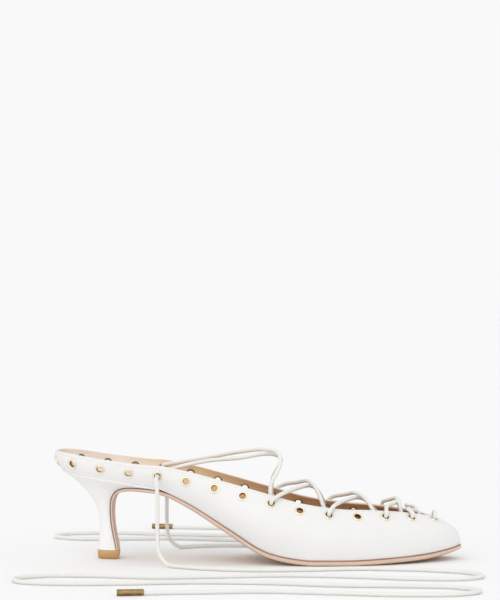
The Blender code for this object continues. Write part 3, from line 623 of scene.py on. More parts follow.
PULL = 0.38  # length of a rib's handles, as a share of its chord
EYELETS_A_SIDE = 15
EYELET_INSET = 0.006
LEATHER = 0.00112  # of the wall; the rest is lining
LINING_LIFT = 0.0003  # lining past the leather's edge
HOLE_RADIUS = 0.00242
LAP = 0.00004  # between two layers that are glued together


def wall(at, up):
    """Points of the outer face: a cubic Bezier up each rib, foot to topline, whose
    handles tip out by the flare at the foot and by the lean at the topline."""
    foot, top, out, lean, flare = ribs(at)
    reach = PULL * np.linalg.norm(top - foot, axis=1)[:, None]
    low = foot + reach * (np.sin(flare)[:, None] * out + np.cos(flare)[:, None] * UP)
    high = top + reach * (np.sin(lean)[:, None] * out - np.cos(lean)[:, None] * UP)
    t = np.broadcast_to(up, (len(foot), np.shape(up)[-1]))[:, :, None]
    foot, low, high, top = (each[:, None] for each in (foot, low, high, top))
    return (1 - t) ** 3 * foot + 3 * (1 - t) ** 2 * t * low + 3 * (1 - t) * t**2 * high + t**3 * top


def wall_normals(at, up):
    """Outward directions of the outer face, from its small steps along and up."""
    at, up = np.asarray(at, float), np.asarray(up, float)
    along = wall(at + 0.02, up) - wall(at - 0.02, up)
    rise = wall(at, np.minimum(up + 0.02, 1)) - wall(at, np.maximum(up - 0.02, 0))
    return unit(np.cross(along, rise))


def topline_share(at, distance):
    """How far up each rib lies that distance below the topline."""
    foot, top, _, _, _ = ribs(at)
    return 1 - distance / (3 * PULL * np.linalg.norm(top - foot, axis=1))


def eyelet_places():
    """(side, number) to an eyelet's middle, normal and topline point: at even
    steps along the line that runs EYELET_INSET below the topline."""
    found = {}
    fine = np.linspace(0, TOE, TOE * 20 + 1)
    up = np.linspace(0, 1, 60)
    for side, at in (("outer", fine), ("inner", ROUND - fine)):
        lengths = np.linalg.norm(np.diff(wall(at, up), axis=1), axis=2)
        below = np.cumsum(lengths[:, ::-1], axis=1)[:, ::-1]
        k = np.argmax(below < EYELET_INSET, axis=1)
        i = np.arange(len(at))
        share = (below[i, k - 1] - EYELET_INSET) / (below[i, k - 1] - below[i, k])
        level = up[k - 1] + share * (up[k] - up[k - 1])
        row = wall(at, level[:, None])[:, 0]
        run = run_along(row)
        spots = run[-1] * (np.arange(EYELETS_A_SIDE) + 0.5) / EYELETS_A_SIDE
        a, t = np.interp(spots, run, at), np.interp(spots, run, level)[:, None]
        found[side] = wall(a, t)[:, 0], wall_normals(a, t)[:, 0], wall(a, np.ones(1))[:, 0]
    return {
        (side, number): tuple(each[number] for each in rows)
        for side, rows in found.items()
        for number in range(EYELETS_A_SIDE)
    }


EYELETS = eyelet_places()
EYELET_MIDDLES = np.array([middle for middle, _, _ in EYELETS.values()])

# Creases drawn into the leather: two ends on the shoe's side, in x and z, the
# side, half width and depth. A negative depth stands proud.
CREASES = [
    ((-0.0310, 0.0530), (-0.0325, 0.0630), 0, 0.0006, 0.00016),
    ((0.0050, 0.0525), (0.0100, 0.0585), -1, 0.0022, 0.00016),
    ((0.0380, 0.0385), (0.0470, 0.0520), -1, 0.0026, 0.00022),
    ((0.0560, 0.0260), (0.0680, 0.0430), -1, 0.0034, 0.00025),
    ((0.0900, 0.0090), (0.1060, 0.0330), -1, 0.0036, 0.00028),
    ((0.1180, 0.0080), (0.1260, 0.0280), -1, 0.0040, 0.00022),
    ((0.1480, 0.0100), (0.1440, 0.0260), -1, 0.0030, 0.00030),
    ((0.1620, 0.0090), (0.1650, 0.0240), -1, 0.0026, 0.00026),
    ((0.1760, 0.0080), (0.1800, 0.0200), -1, 0.0022, 0.00018),
    ((0.0080, 0.0525), (0.0040, 0.0590), 1, 0.0022, 0.00016),
    ((0.0420, 0.0360), (0.0500, 0.0510), 1, 0.0028, 0.00022),
    ((0.0880, 0.0110), (0.1000, 0.0340), 1, 0.0036, 0.00028),
    ((0.1260, 0.0080), (0.1300, 0.0270), 1, 0.0036, 0.00026),
    ((0.1540, 0.0090), (0.1560, 0.0240), 1, 0.0028, 0.00030),
    ((0.1720, 0.0080), (0.1780, 0.0210), 1, 0.0024, 0.00020),
    ((0.1985, 0.0120), (0.2040, 0.0200), -1, 0.0024, 0.00014),
    ((0.1985, 0.0120), (0.2040, 0.0200), 1, 0.0024, 0.00014),
]
PUCKER = 0.00011  # height of the soft ring that each eyelet presses up
PUCKER_RADIUS = 0.0038


def crease_depths(points):
    """How far the leather sinks at points: for each crease its depth times a bell
    of the distance from the line between its ends, less a low ring of leather
    round each eyelet."""
    flat = points[..., [0, 2]]
    depth = np.zeros(points.shape[:-1])
    for start, end, side, wide, deep in CREASES:
        start, end = np.array(start), np.array(end)
        way = end - start
        share = np.clip(((flat - start) @ way) / (way @ way), 0, 1)
        off = np.linalg.norm(flat - start - share[..., None] * way, axis=-1)
        here = (np.sign(points[..., 1]) == side) if side else np.abs(points[..., 1]) < 0.02
        if side == 0:
            off = np.abs(points[..., 1]) + (points[..., 0] > 0)
        depth += here * deep * np.exp(-((off / wide) ** 2)) * (0.35 + 0.65 * np.sin(math.pi * share))
    near = np.linalg.norm(points[..., None, :] - EYELET_MIDDLES, axis=-1).min(axis=-1)
    return depth - PUCKER * np.exp(-(((near - PUCKER_RADIUS) / 0.0008) ** 2))


def shell_rings(near, far, lift, around=420, rows=44):
    """Sections of a layer of the wall between two depths: up its outer face, round
    a half circle at the topline, down its inner face. Depth is measured along
    the normal, and level at the foot, so that the foot stays flat. The creases
    fade out just above it."""
    at = np.linspace(0, ROUND, around, endpoint=False)
    half = (far - near) / 2
    edge = topline_share(at, half - lift)
    up = np.clip(edge[:, None] * np.linspace(0, 1, rows)[None], 0, 1)
    face = wall(at, up)
    normals = wall_normals(at, up)
    _, _, out, _, flare = ribs(at)
    low = (np.clip(1 - up / 0.12, 0, 1) ** 2)[:, :, None]
    inward = (1 - low) * normals + low * (out / np.cos(flare)[:, None])[:, None]
    sunk = crease_depths(face)[:, :, None] * np.clip(up / 0.08, 0, 1)[:, :, None] * (1 - low)
    outside = face - inward * near - normals * sunk
    inside = face - inward * far - normals * sunk
    rise = unit(outside[:, -1] - outside[:, -2])
    middle = (outside[:, -1] + inside[:, -1]) / 2
    turn = np.linspace(0, math.pi, 9)[1:-1]
    cap = (
        middle[:, None]
        + np.cos(turn)[None, :, None] * ((outside[:, -1] - inside[:, -1]) / 2)[:, None]
        + np.sin(turn)[None, :, None] * half * rise[:, None]
    )
    return np.concatenate([outside, cap, inside[:, ::-1]], axis=1)


HOLE_SIDES = 28
PEG_INWARDS, PEG_OUTWARDS = 0.0045, 0.003  # how far a peg reaches from the wall's face


def spokes(place, count):
    """Directions round an eyelet in the wall's face, evenly turned once round, from
    across it towards the topline."""
    middle, normal, topline = place
    rise = unit(np.cross(np.cross(normal, topline - middle), normal))
    angle = np.arange(count) * 2 * math.pi / count
    return np.cos(angle)[:, None] * np.cross(rise, normal) + np.sin(angle)[:, None] * rise


def punch(shell, raw_edge):
    """Cuts a round hole through a layer at each eyelet, with a raw edge: a peg, one
    ring of points inside the wall and one outside, is taken from the shell."""
    points, faces = [], []
    for place in EYELETS.values():
        ring = place[0] + HOLE_RADIUS * spokes(place, HOLE_SIDES)
        low = np.arange(HOLE_SIDES) + len(points)
        high = low + HOLE_SIDES
        points += (ring - PEG_INWARDS * place[1]).tolist() + (ring + PEG_OUTWARDS * place[1]).tolist()
        faces += np.stack([low, np.roll(low, -1), np.roll(high, -1), high], axis=1).tolist()
        faces += [low[::-1].tolist(), high.tolist()]
    pegs = bpy.data.meshes.new("pegs")
    pegs.from_pydata(points, [], faces)
    pegs.materials.append(raw_edge)
    pins = add_object("pegs", pegs)
    cut = shell.modifiers.new("holes", "BOOLEAN")
    cut.operation, cut.object, cut.solver = "DIFFERENCE", pins, "EXACT"
    cut.material_mode = "TRANSFER"
    whole = shell.data
    holed = shell.evaluated_get(bpy.context.evaluated_depsgraph_get())
    shell.data = bpy.data.meshes.new_from_object(holed)
    shell.data.name = whole.name
    shell.modifiers.clear()
    bpy.data.objects.remove(pins, do_unlink=True)
    shell.data.shade_smooth()
    shell.data.set_sharp_from_angle(angle=SMOOTH_BELOW)


def grain_group():
    """Leather grain: cells with worn-down ridges between them, broken up by noise,
    with pores where the cells are smallest."""
    group, given, result = new_group(
        "leather_grain", {"Place": "Vector", "Size": "Float"}, {"Height": "Float", "Pores": "Float"}
    )
    scale = calc(group, "DIVIDE", 1.0, given.outputs["Size"])
    spots = {"Vector": given.outputs["Place"], "Scale": scale}
    pebbles = node(group, "ShaderNodeTexVoronoi", spots, feature="DISTANCE_TO_EDGE")
    ridge = node(group, "ShaderNodeMapRange", {0: pebbles.outputs["Distance"], 1: 0.0, 2: 0.22})
    broader = calc(group, "MULTIPLY", scale, 0.45)
    spots = {"Vector": given.outputs["Place"], "Scale": broader, "Detail": 5.0}
    rough = node(group, "ShaderNodeTexNoise", spots)
    half_ridge = calc(group, "MULTIPLY", ridge.outputs[0], 0.5)
    height = calc(group, "MULTIPLY_ADD", rough.outputs["Fac"], 0.8, half_ridge)
    group.links.new(height, result.inputs["Height"])
    group.links.new(calc(group, "SUBTRACT", 1.0, ridge.outputs[0]), result.inputs["Pores"])
    return group


GRAIN = grain_group()


def calf(name, fresh, worn):
    """White calf: fine grain over soft patches of the two colours, a little darker
    in the pores and duller in some patches."""
    made, tree, shader, places, shade = patched_finish(
        name, 0.035, Coat_Weight=0.06, Coat_Roughness=0.35, Specular_IOR_Level=0.45
    )
    grain = use(tree, GRAIN, Place=places["Object"], Size=0.0009)
    pored = calc(tree, "MULTIPLY", grain["Pores"], 0.22)
    milk = blend(tree, shade["Broad"], fresh, worn)
    feed(
        tree,
        shader,
        Base_Color=blend(tree, pored, milk, (0.70, 0.685, 0.66)),
        Roughness=calc(tree, "MULTIPLY_ADD", shade["Fine"], 0.12, 0.38),
    )
    raised(tree, shader, grain["Height"], 0.00005)
    return made


def ramp(tree, share, stops):
    """A colour read off a row of (place, colour) stops."""
    made = node(tree, "ShaderNodeValToRGB", {0: share})
    elements = made.color_ramp.elements
    elements[0].position, elements[1].position = stops[0][0], stops[-1][0]
    for place, _ in stops[1:-1]:
        elements.new(place)
    for element, (_, colour) in zip(elements, stops):
        element.color = (*colour, 1.0)
    return made.outputs[0]


white_calf = calf("white_calf", (0.815, 0.812, 0.803), (0.79, 0.786, 0.777))

lining_kid, tree, shader, places, shade = patched_finish(
    "lining_kid", 0.025, Sheen_Weight=0.15, Sheen_Roughness=0.5
)
grain = use(tree, GRAIN, Place=places["Object"], Size=0.0007)
forward_tone_and_shade = way_along(tree, places, 0, 0.0, 0.12)
# Pale at the heel and tan in front, as the lining is, and darker still towards the toe as painted shade
# inside the shoe's front.
tans_and_painted_shade = [
    (0.0, (0.87, 0.77, 0.70)),
    (0.14, (0.84, 0.72, 0.60)),
    (0.36, (0.80, 0.60, 0.38)),
    (1.0, (0.62, 0.38, 0.20)),
]
worn = calc(tree, "MULTIPLY", shade["Broad"], 0.25)
feed(
    tree,
    shader,
    Base_Color=blend(tree, worn, ramp(tree, forward_tone_and_shade, tans_and_painted_shade), (0.60, 0.42, 0.27)),
    Roughness=calc(tree, "MULTIPLY_ADD", grain["Pores"], 0.15, 0.48),
)
raised(tree, shader, grain["Height"], 0.00005)

raw_hide, tree, shader, places, shade = patched_finish("raw_hide", 0.002, Roughness=0.85)
feed(tree, shader, Base_Color=blend(tree, shade["Fine"], (0.60, 0.46, 0.36), (0.42, 0.30, 0.22)))
raised(tree, shader, shade["Fine"], 0.0001)

outside = shell_rings(0.0, LEATHER, 0.0)
inside = shell_rings(LEATHER + LAP, WALL, LINING_LIFT)
leather = add_skin("upper_leather", outside, [white_calf, raw_hide], loop=True)
lining = add_skin("upper_lining", inside, [lining_kid, raw_hide], loop=True)
punch(leather, raw_hide)
punch(lining, raw_hide)
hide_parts("upper")
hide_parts("upper")

STITCH_PITCH = 0.0021
STITCH_INSET = 0.0015
STITCH_HALF = 0.00078  # half the length that shows
STITCH_RISE = 0.00006
THREAD = 0.00019  # its half thickness
fine = np.linspace(0, ROUND, 2801)
row = wall(fine, topline_share(fine, STITCH_INSET)[:, None])[:, 0]
run = run_along(row)
spots = np.interp(np.arange(0, run[-1] - 0.001, STITCH_PITCH), run, fine)
low = topline_share(spots, STITCH_INSET)[:, None]
middles = wall(spots, low)[:, None, :]
normals = wall_normals(spots, low)[:, None, :]
ahead = unit(wall(spots + 0.01, low) - wall(spots - 0.01, low))[:, None, :]
across = np.cross(normals, ahead)
# Each stitch is an arch of thread: a half wave along, with a round section of
# seven rings of six points that thins towards both ends.
along = np.linspace(-1, 1, 7)[:, None]
angle = np.arange(6) * math.pi / 3
thick = THREAD * np.sqrt(1.02 - along**4)
arch = STITCH_RISE * np.cos(along * math.pi / 2)
local = [along * STITCH_HALF + 0 * angle, thick * np.cos(angle), thick * np.sin(angle) + arch]
threads = middles + sum(
    part[None, :, :, None] * way for part, way in zip(local, (ahead, across, normals))
)
grid = np.arange(42).reshape(7, 6)
one = cells(np.concatenate([grid, grid[:, :1]], axis=1))
first = np.arange(len(spots))[:, None, None] * 42
quads = (first + one).reshape(-1, 4)
caps = (first + np.stack([grid[0, ::-1], grid[-1]])).reshape(-1, 6)
thread_mesh = bpy.data.meshes.new("topline_stitches")
thread_mesh.from_pydata(threads.reshape(-1, 3).tolist(), [], quads.tolist() + caps.tolist())
thread_mesh.shade_smooth()
thread_white, tree, shader, places, shade = patched_finish(
    "thread_white", 0.0006, Roughness=0.6, Sheen_Weight=0.2
)
feed(tree, shader, Base_Color=blend(tree, shade["Fine"], (0.84, 0.83, 0.80), (0.72, 0.70, 0.66)))
thread_mesh.materials.append(thread_white)
stitches = add_object("topline_stitches", thread_mesh)
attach(stitches, "root")


# The heel. A moulded block under the seat, wide at the top and waisted to a
# small tip, covered in the upper's own white calf, pulled tight and glued.

HEEL_WIDTH = 0.047
HEEL_FRONT = 0.066  # back of the collar to the front of the heel's lip
BREAST_TAPER = 0.18
TREAD_HEIGHT = 0.0053
# One row for each level from the seat down: where its back and its front are,
# along and up, and its width, as shares of the heel's own sizes.
HEEL_LEVELS = [
    (0.083, 0.990, 0.994, 0.797, 1.000),
    (0.108, 0.965, 0.850, 0.815, 0.940),
    (0.160, 0.922, 0.690, 0.816, 0.830),
    (0.250, 0.828, 0.590, 0.772, 0.650),
    (0.341, 0.702, 0.540, 0.677, 0.495),
    (0.403, 0.556, 0.529, 0.538, 0.372),
    (0.427, 0.362, 0.541, 0.353, 0.310),
    (0.415, 0.104, 0.582, 0.104, 0.312),
]
HEEL_LIP = 4.86  # rib at the front edge of the heel
HEEL_STATIONS = [0.0, 0.4, 0.75, 1.1, 1.55, 2.05, 2.6, 3.2, 3.75, 4.3, HEEL_LIP]
SIDE_POINTS = 49  # ring points along each side of the heel
FRONT_POINTS = 13  # and across its front
SEAT_DROP = 0.00005  # of the heel's top under the upper's edge
TREAD_DROP = 0.00012  # from the heel's end to its top piece


def heel_ring_shapes():
    """The heel's ring at the seat, in place, and lower down, in shares: a D whose
    flat side is at the front, narrower there by the breast's taper."""
    count = len(HEEL_STATIONS)
    number = np.linspace(0, count - 1, SIDE_POINTS)
    stations = np.interp(number, np.arange(count), HEEL_STATIONS)
    outer, inner = ribs(stations)[0], ribs(ROUND - stations)[0]
    across = np.linspace(0, 1, FRONT_POINTS + 2)[1:-1, None]
    seat = np.concatenate([outer, outer[-1] + across * (inner[-1] - outer[-1]), inner[:0:-1]])
    angle = math.pi / 2 * (1 - number / (count - 1))
    low_along = 1 - np.sin(angle)
    low_across = -np.cos(angle) * (1 - BREAST_TAPER * low_along**3)
    low_across /= np.abs(low_across).max()
    edge = low_across[-1] * np.linspace(1, -1, FRONT_POINTS + 2)[1:-1]
    low = np.stack(
        [
            np.concatenate([low_along, np.ones(FRONT_POINTS), low_along[:0:-1]]),
            np.concatenate([low_across, edge, -low_across[:0:-1]]),
        ],
        axis=1,
    )
    return seat, low


def heel_rings(count=90):
    """The heel's rings: at each level the seat's shape turns into the D by a smooth
    step, stretched between the level's back and its front."""
    seat, low = heel_ring_shapes()
    share = np.linspace(0, 1, count) ** 1.15
    rows = spline(HEEL_LEVELS, share * (len(HEEL_LEVELS) - 1))
    back, front = rows[0, 0] * HEEL_FRONT, rows[0, 2] * HEEL_FRONT
    seat_along = (seat[:, 0] + HEEL_SETBACK - back) / (front - back)
    high = np.stack([seat_along, seat[:, 1] / (HEEL_WIDTH / 2)], axis=1)
    ease = np.minimum(1, 2 * share)
    ease = (ease * ease * (3 - 2 * ease))[:, None, None]
    shape = high[None] + ease * (low - high)[None]
    sizes = np.array([HEEL_FRONT, SEAT_HEIGHT])
    start = rows[:, None, 0:2] * sizes - [HEEL_SETBACK, 0]
    end = rows[:, None, 2:4] * sizes - [HEEL_SETBACK, 0]
    line = start + shape[:, :, :1] * (end - start)
    half_widths = shape[..., 1] * rows[:, 4, None] * HEEL_WIDTH / 2
    rings = np.stack([line[..., 0], half_widths, line[..., 1]], axis=2)
    # The first rings are drawn to the seat itself, just under the upper's edge.
    keep = np.clip(1 - share * 2 * (len(HEEL_LEVELS) - 1), 0, 1)[:, None, None]
    rings += keep * (seat - UP * SEAT_DROP - rings[0])[None]
    rings[-1, :, 2] = TREAD_HEIGHT + TREAD_DROP
    return rings


heel_skin = heel_rings()
corner = SIDE_POINTS - 1  # the ring's outer corner at the breast
# The heel's calf is painted a shade paler than the upper's. This is painted light, to offset the shade
# that falls on it near the floor.
heel_calf_painted_light = calf("heel_calf_painted_light", (0.88, 0.877, 0.868), (0.86, 0.856, 0.847))
heel = add_skin("covered_heel", heel_skin, heel_calf_painted_light)
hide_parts("heel")


# The outsole. Tan leather, cut flat, skived thin at the waist and on down the
# heel's breast as a flap, with its edge trimmed, dyed and burnished, darker
# along its lower corner, and with painted shade along its top corner where it meets the upper.

SOLE_MARGIN = 0.0005
WAIST_THICKNESS = 0.0022
FLAP_THICKNESS = 0.0014
TOE_THICKNESS = 0.0016
ACROSS = 14  # points across the sole, between its two trimmed edges


def running_mean(line, weights, **ends):
    """Each point of a line as the weighted sum of its neighbours, with padded ends."""
    half = len(weights) // 2
    padded = np.pad(line, ((half, half), (0, 0)), **ends)
    return np.stack([np.convolve(column, weights, "valid") for column in padded.T], axis=1)


# Sections from the toe, closer together at its end, to just before the heel.
toe_end = 13.97 - 0.55 * (1 - np.cos(np.linspace(0, math.pi / 2, 16)))
at = np.concatenate([toe_end, np.linspace(13.38, 5.3, 150)])
outer, _, out, _, _ = ribs(at)
inner, _, inner_out, _, _ = ribs(ROUND - at)
margin = SOLE_MARGIN * np.clip((at - HEEL_LIP) / 3, 0, 1)[:, None]
outer += out * margin
inner += inner_out * margin
flap = heel_skin[4::2]
outer = np.concatenate([outer, flap[:, corner]])
inner = np.concatenate([inner, flap[:, -corner]])
outer[:, 2] = inner[:, 2] = (outer[:, 2] + inner[:, 2]) / 2
middle = (outer + inner)[:, [0, 2]] / 2
eased = running_mean(middle, np.array([1, 2, 3, 2, 1]) / 9, mode="edge")
along = unit(np.gradient(eased, axis=0))
away = np.stack([-along[:, 1], np.zeros(len(along)), along[:, 0]], axis=1)
tread = np.interp(
    at,
    [HEEL_LIP, 8, 9, 12, TOE],
    [WAIST_THICKNESS, 0.9 * SOLE_THICKNESS, SOLE_THICKNESS, SOLE_THICKNESS, TOE_THICKNESS],
)
thick = np.concatenate([tread, np.linspace(WAIST_THICKNESS, FLAP_THICKNESS, len(flap))])
trimmed = [
    (0.0, 0.0),
    (-0.02, 0.12),
    (-0.03, 0.3),
    (-0.02, 0.5),
    (0.04, 0.68),
    (0.14, 0.83),
    (0.27, 0.94),
    (0.42, 1.0),
]
# Where the whole sole lies level, its underside is set flat on the floor.
level = outer[:, 2] < SOLE_THICKNESS + GAP + 0.00002
flat_rows = np.flatnonzero(level & (thick > 0.99 * SOLE_THICKNESS))
low_columns = np.arange(len(trimmed) - 1, len(trimmed) + 1 + ACROSS)
# The sole is glued to the upper, and its flap lies a little off the heel.
lap = np.concatenate([np.full(len(at), LAP), np.full(len(flap), GAP)])
outer += away * lap[:, None]
inner += away * lap[:, None]
sections = strip_rings(outer, inner, away, thick + GAP - lap, trimmed, steps=ACROSS)
sections[flat_rows[:, None], low_columns, 2] = 0.0
sections[-1, :, 2] = TREAD_HEIGHT + TREAD_DROP

# The pattern's first place runs from the top edge (0) to the bottom (1) down
# each side, and its second along the sole.
down = np.array([pair[1] for pair in trimmed])
under, over = np.full(ACROSS, 1.25), np.full(ACROSS, -0.25)
round_share = np.concatenate([down, under, down[::-1], over, down[:1]])
sole_places = np.stack(np.meshgrid(round_share, run_along(middle) * 10), axis=2)

sole_tan, tree, shader, places, shade = patched_finish(
    "sole_tan", 0.02, Coat_Weight=0.05, Coat_Roughness=0.3
)
grain = use(tree, GRAIN, Place=places["Object"], Size=0.0006)
split = node(tree, "ShaderNodeSeparateXYZ", {0: places["UV"]})
# Down each side there is a dark band along the top corner, which is painted shade where the sole meets
# the upper. Below it the sole is tan, and it is darker again along the lower corner.
side_tones_and_seam_shade = ramp(
    tree,
    calc(tree, "MULTIPLY_ADD", split.outputs[0], 0.5, 0.2),
    [
        (0.10, (0.45, 0.29, 0.20)),
        (0.20, (0.24, 0.12, 0.075)),
        (0.275, (0.26, 0.13, 0.085)),
        (0.33, (0.66, 0.47, 0.36)),
        (0.42, (0.74, 0.55, 0.44)),
        (0.60, (0.70, 0.50, 0.39)),
        (0.69, (0.32, 0.18, 0.12)),
        (0.80, (0.66, 0.46, 0.33)),
    ],
)
scuffed = calc(tree, "MULTIPLY", shade["Broad"], 0.25)
feed(
    tree,
    shader,
    Base_Color=blend(tree, scuffed, side_tones_and_seam_shade, (0.55, 0.38, 0.28)),
    Roughness=calc(tree, "MULTIPLY_ADD", shade["Fine"], 0.25, 0.38),
)
raised(tree, shader, grain["Height"], 0.00006)

outsole = add_skin("leather_outsole", sections, sole_tan, places=sole_places)
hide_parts("outsole")


# The top piece. The hard-wearing tread under the heel, a D of brown rubber
# pinned up into the heel block, with its lower edge rounded and buffed.

TREAD_LENGTH = 0.0130
TREAD_WIDTH = 0.0146
_, low = heel_ring_shapes()
# How high each ring lies, and how far its edge is rounded in there.
levels = np.array([TREAD_HEIGHT, 0.0052, 0.0049, 0.0035, 0.0022, 0.0014, 0.0008, 0.0004, 0.0001, 0.0])
eases = np.array([0.0002, 0.00005, 0.0, 0.0, 0.00004, 0.00012, 0.0003, 0.0005, 0.0009, 0.0013])
treads = np.stack(
    [
        (low[None, :, 0] - 0.5) * (TREAD_LENGTH - 2 * eases)[:, None],
        low[None, :, 1] * (TREAD_WIDTH / 2 - eases)[:, None],
        np.broadcast_to(levels[:, None], (len(levels), len(low))),
    ],
    axis=2,
)
tread_brown, tree, shader, places, shade = patched_finish("tread_brown", 0.006, Specular_IOR_Level=0.4)
height = way_along(tree, places, 2, 0.0, TREAD_HEIGHT)
ochre = blend(tree, height, (0.42, 0.22, 0.08), (0.64, 0.37, 0.14))
stained = calc(tree, "MULTIPLY", shade["Broad"], 0.4)
feed(
    tree,
    shader,
    Base_Color=blend(tree, stained, ochre, (0.48, 0.29, 0.12)),
    Roughness=calc(tree, "MULTIPLY_ADD", shade["Fine"], 0.2, 0.4),
)
raised(tree, shader, shade["Fine"], 0.00005)
top_piece = add_skin("heel_top_piece", treads, tread_brown)
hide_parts("top_piece")


# The eyelets. Thin pale gold brass, thirty of them: a barrel through the
# wall, curled over in a rolled flange outside and spread on a washer inside.

# The eyelet's section: distance from its middle, and height over the wall.
EYELET_SECTION = [
    (0.00190, 0.00000),
    (0.00194, 0.00030),
    (0.00210, 0.00054),
    (0.00240, 0.00064),
    (0.00272, 0.00052),
    (0.00296, 0.00026),
    (0.00301, 0.00000),
    (0.00290, -0.00012),
    (0.00255, -0.00008),
    (0.00232, -0.00018),
    (0.00231, -0.00100),
    (0.00233, -0.00180),
    (0.00262, -0.00190),
    (0.00276, -0.00202),
    (0.00262, -0.00218),
    (0.00225, -0.00232),
    (0.00198, -0.00222),
    (0.00190, -0.00190),
    (0.00190, -0.00100),
]
WASHER_FROM = 11  # the first of those points that is the washer's
EYELET_SIDES = 32

pale_gold = metal("pale_gold", 0.003, (0.95, 0.87, 0.69), (0.88, 0.77, 0.56), 0.2, 0.12, 0.00002)
# A darker copy of the same brass for the washer and the barrel's inside: painted shade inside the shoe.
brass_in_painted_shade = metal("brass_in_painted_shade", 0.003, (0.30, 0.23, 0.15), (0.18, 0.13, 0.08), 0.4, 0.15)

# The section is read at two points for each of its own.
section = spline(EYELET_SECTION, np.arange(0, len(EYELET_SECTION), 0.5), closed=True)
# From the washer on, round to the barrel's inner face, the points take the dark copy, as painted shade.
finishes = (np.arange(len(section)) >= 2 * WASHER_FROM).astype(int)
for (side, number), place in EYELETS.items():
    away = section[:, 0, None] * spokes(place, EYELET_SIDES)[:, None]
    rings = place[0] + away + section[:, 1, None] * place[1]
    name = f"brass_eyelet_{side}_{number:02d}"
    eyelet = add_skin(name, rings, [pale_gold, brass_in_painted_shade], loop=True, slots=finishes)
    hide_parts(f"eyelet_{side}_{number:02d}")


# The lace. The rest of the same braided cord: a bar across the front of the
# throat, then in and out of the eyelets and over the foot from side to side,
# and from the ninth eyelets in one long crossing to the fifth, where it ties.

# Eyelets at a crossing's back and front, the top of its arch, along from the
# back of the collar and up from the floor, and how far a strand leans forward
# as it leaves the one and back as it nears the other.
CROSSINGS = [
    (13, 14, 0.2195, 0.0298, 0.0022, 0.0000),
    (12, 13, 0.2078, 0.0354, 0.0040, 0.0008),
    (10, 12, 0.1838, 0.0384, 0.0050, -0.0018),
    (8, 10, 0.1550, 0.0456, 0.0074, -0.0006),
]
# The long crossing, from the outer ninth eyelet to the inner fifth.
INSTEP_ROUTE = [
    (0.0986, -0.0220, 0.0465),
    (0.1040, -0.0145, 0.0570),
    (0.1030, -0.0065, 0.0628),
    (0.0956, 0.0000, 0.0646),
    (0.0796, 0.0085, 0.0626),
    (0.0616, 0.0155, 0.0602),
    (0.0450, 0.0200, 0.0570),
]
PASSING = 0.0013  # half the height between two strands where they cross
MOUTH_OUTSIDE = 0.00135  # from the wall's face to where a lace leaves its eyelet
MOUTH_INSIDE = 0.00335
# On the way up to an arch's top, a strand is drawn through one shoulder: how
# far along that is, and how much higher than straight, from front and rear.
FRONT_SHOULDER, REAR_SHOULDER = (0.42, 0.22), (0.50, 0.10)
OPPOSITE = {"outer": "inner", "inner": "outer"}


def lace_end(place, outside, lead=0.0):
    """A lace's way from its eyelet's mouth to past the topline, on one side of the
    wall, leaning by lead along the shoe."""
    middle, normal, topline = place
    rise = unit(topline - middle)
    ahead = unit(np.cross(normal, rise))
    ahead = ahead * math.copysign(lead, ahead[0] * lead)
    if outside:
        mouth = middle + normal * MOUTH_OUTSIDE
        bend = mouth + normal * 0.6 * LACE + rise * 0.15 * LACE
        beside = topline + normal * 0.85 * LACE - rise * 0.5 * LACE + ahead * 0.6
        over = topline + normal * 0.55 * LACE + rise * 0.45 * LACE + ahead
    else:
        mouth = middle - normal * MOUTH_INSIDE
        bend = mouth - normal * 0.6 * LACE + rise * 0.15 * LACE
        beside = topline - normal * (WALL + 0.95 * LACE) - rise * 0.5 * LACE + ahead * 0.6
        over = beside + rise * 1.3 * LACE - normal * 0.1 * LACE + ahead * 0.4
    return [mouth, bend, beside, over]


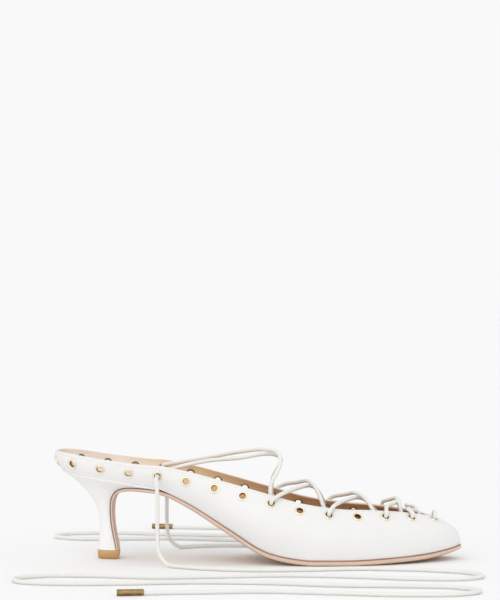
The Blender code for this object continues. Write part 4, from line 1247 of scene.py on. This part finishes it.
def crossing_route(rear, front, top_along, top_height, lead, back, front_side, pass_over):
    """One strand, from inside its front eyelet over the foot to outside the rear
    eyelet on the other side, lifted or lowered where it meets the other strand."""
    start = lace_end(EYELETS[front_side, front], False, back)
    end = lace_end(EYELETS[OPPOSITE[front_side], rear], True, lead)[::-1]
    level = (EYELETS["outer", rear][0] + EYELETS["inner", rear][0])[1] / 2
    top = np.array([top_along - HEEL_SETBACK, level, top_height])
    shoulders = []
    for foot, (share, lift) in ((start[-1], FRONT_SHOULDER), (end[0], REAR_SHOULDER)):
        shoulder = foot + share * (top - foot)
        shoulder[2] += lift * (top[2] - foot[2]) + pass_over * PASSING * 0.4
        shoulders.append(shoulder)
    return start + [shoulders[0], top + UP * pass_over * PASSING, shoulders[1]] + end


def half_lace(front_side, first_over):
    """Half of the lace, from the mouth of a front eyelet to inside a fifth one."""
    side, over, route = front_side, first_over, []
    for crossing in CROSSINGS:
        route += crossing_route(*crossing, side, over)
        side, over = OPPOSITE[side], -over
    other = OPPOSITE[side]
    long_way = np.array(INSTEP_ROUTE) * [1, 1 if side == "outer" else -1, 1]
    long_way[2:5] += UP * over * PASSING
    route += lace_end(EYELETS[side, 8], False)[:3] + list(long_way)
    end = lace_end(EYELETS[other, 4], False)
    middle, normal, _ = EYELETS[other, 4]
    return route + [end[1], end[0], middle - normal * 0.0012]


def settled(line, step=0.00035, reach=0.0024):
    """A line at even steps, eased by a bell-weighted running mean, as a stiff cord
    eases its own bends: a little everywhere, and then widely, but not near the
    eyelets, which hold it."""
    run = run_along(line)
    even = np.arange(0, run[-1], step)
    line = np.stack([np.interp(even, run, line[:, k]) for k in range(3)], axis=1)
    for wide, hold in ((0.0008, -1.0), (reach, 0.0062)):
        count = int(3 * wide / step)
        bell = np.exp(-((np.arange(-count, count + 1) * step / wide) ** 2) / 2)
        soft = running_mean(line, bell / bell.sum(), mode="reflect", reflect_type="odd")
        near = np.linalg.norm(line[:, None] - EYELET_MIDDLES, axis=2).min(axis=1)
        line = line + np.clip((near - hold) / 0.006, 0, 1)[:, None] * (soft - line)
    return line


front_outer, front_inner = (lace_end(EYELETS[side, 14], True)[:2] for side in ("outer", "inner"))
bar_top = (front_outer[1] + front_inner[1]) / 2 + UP * 0.3 * LACE
bar = front_outer + [bar_top] + front_inner[::-1]
points = half_lace("outer", 1)[::-1] + bar + half_lace("inner", -1)
line = settled(smooth_route(points, 2400))
lace = add_cord("braided_lace", line, 14)
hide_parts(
    "lace_bar",
    "lace_crossing_13_14",
    "lace_crossing_12_13",
    "lace_crossing_10_12",
    "lace_crossing_08_10",
    "lace_crossing_04_08",
)
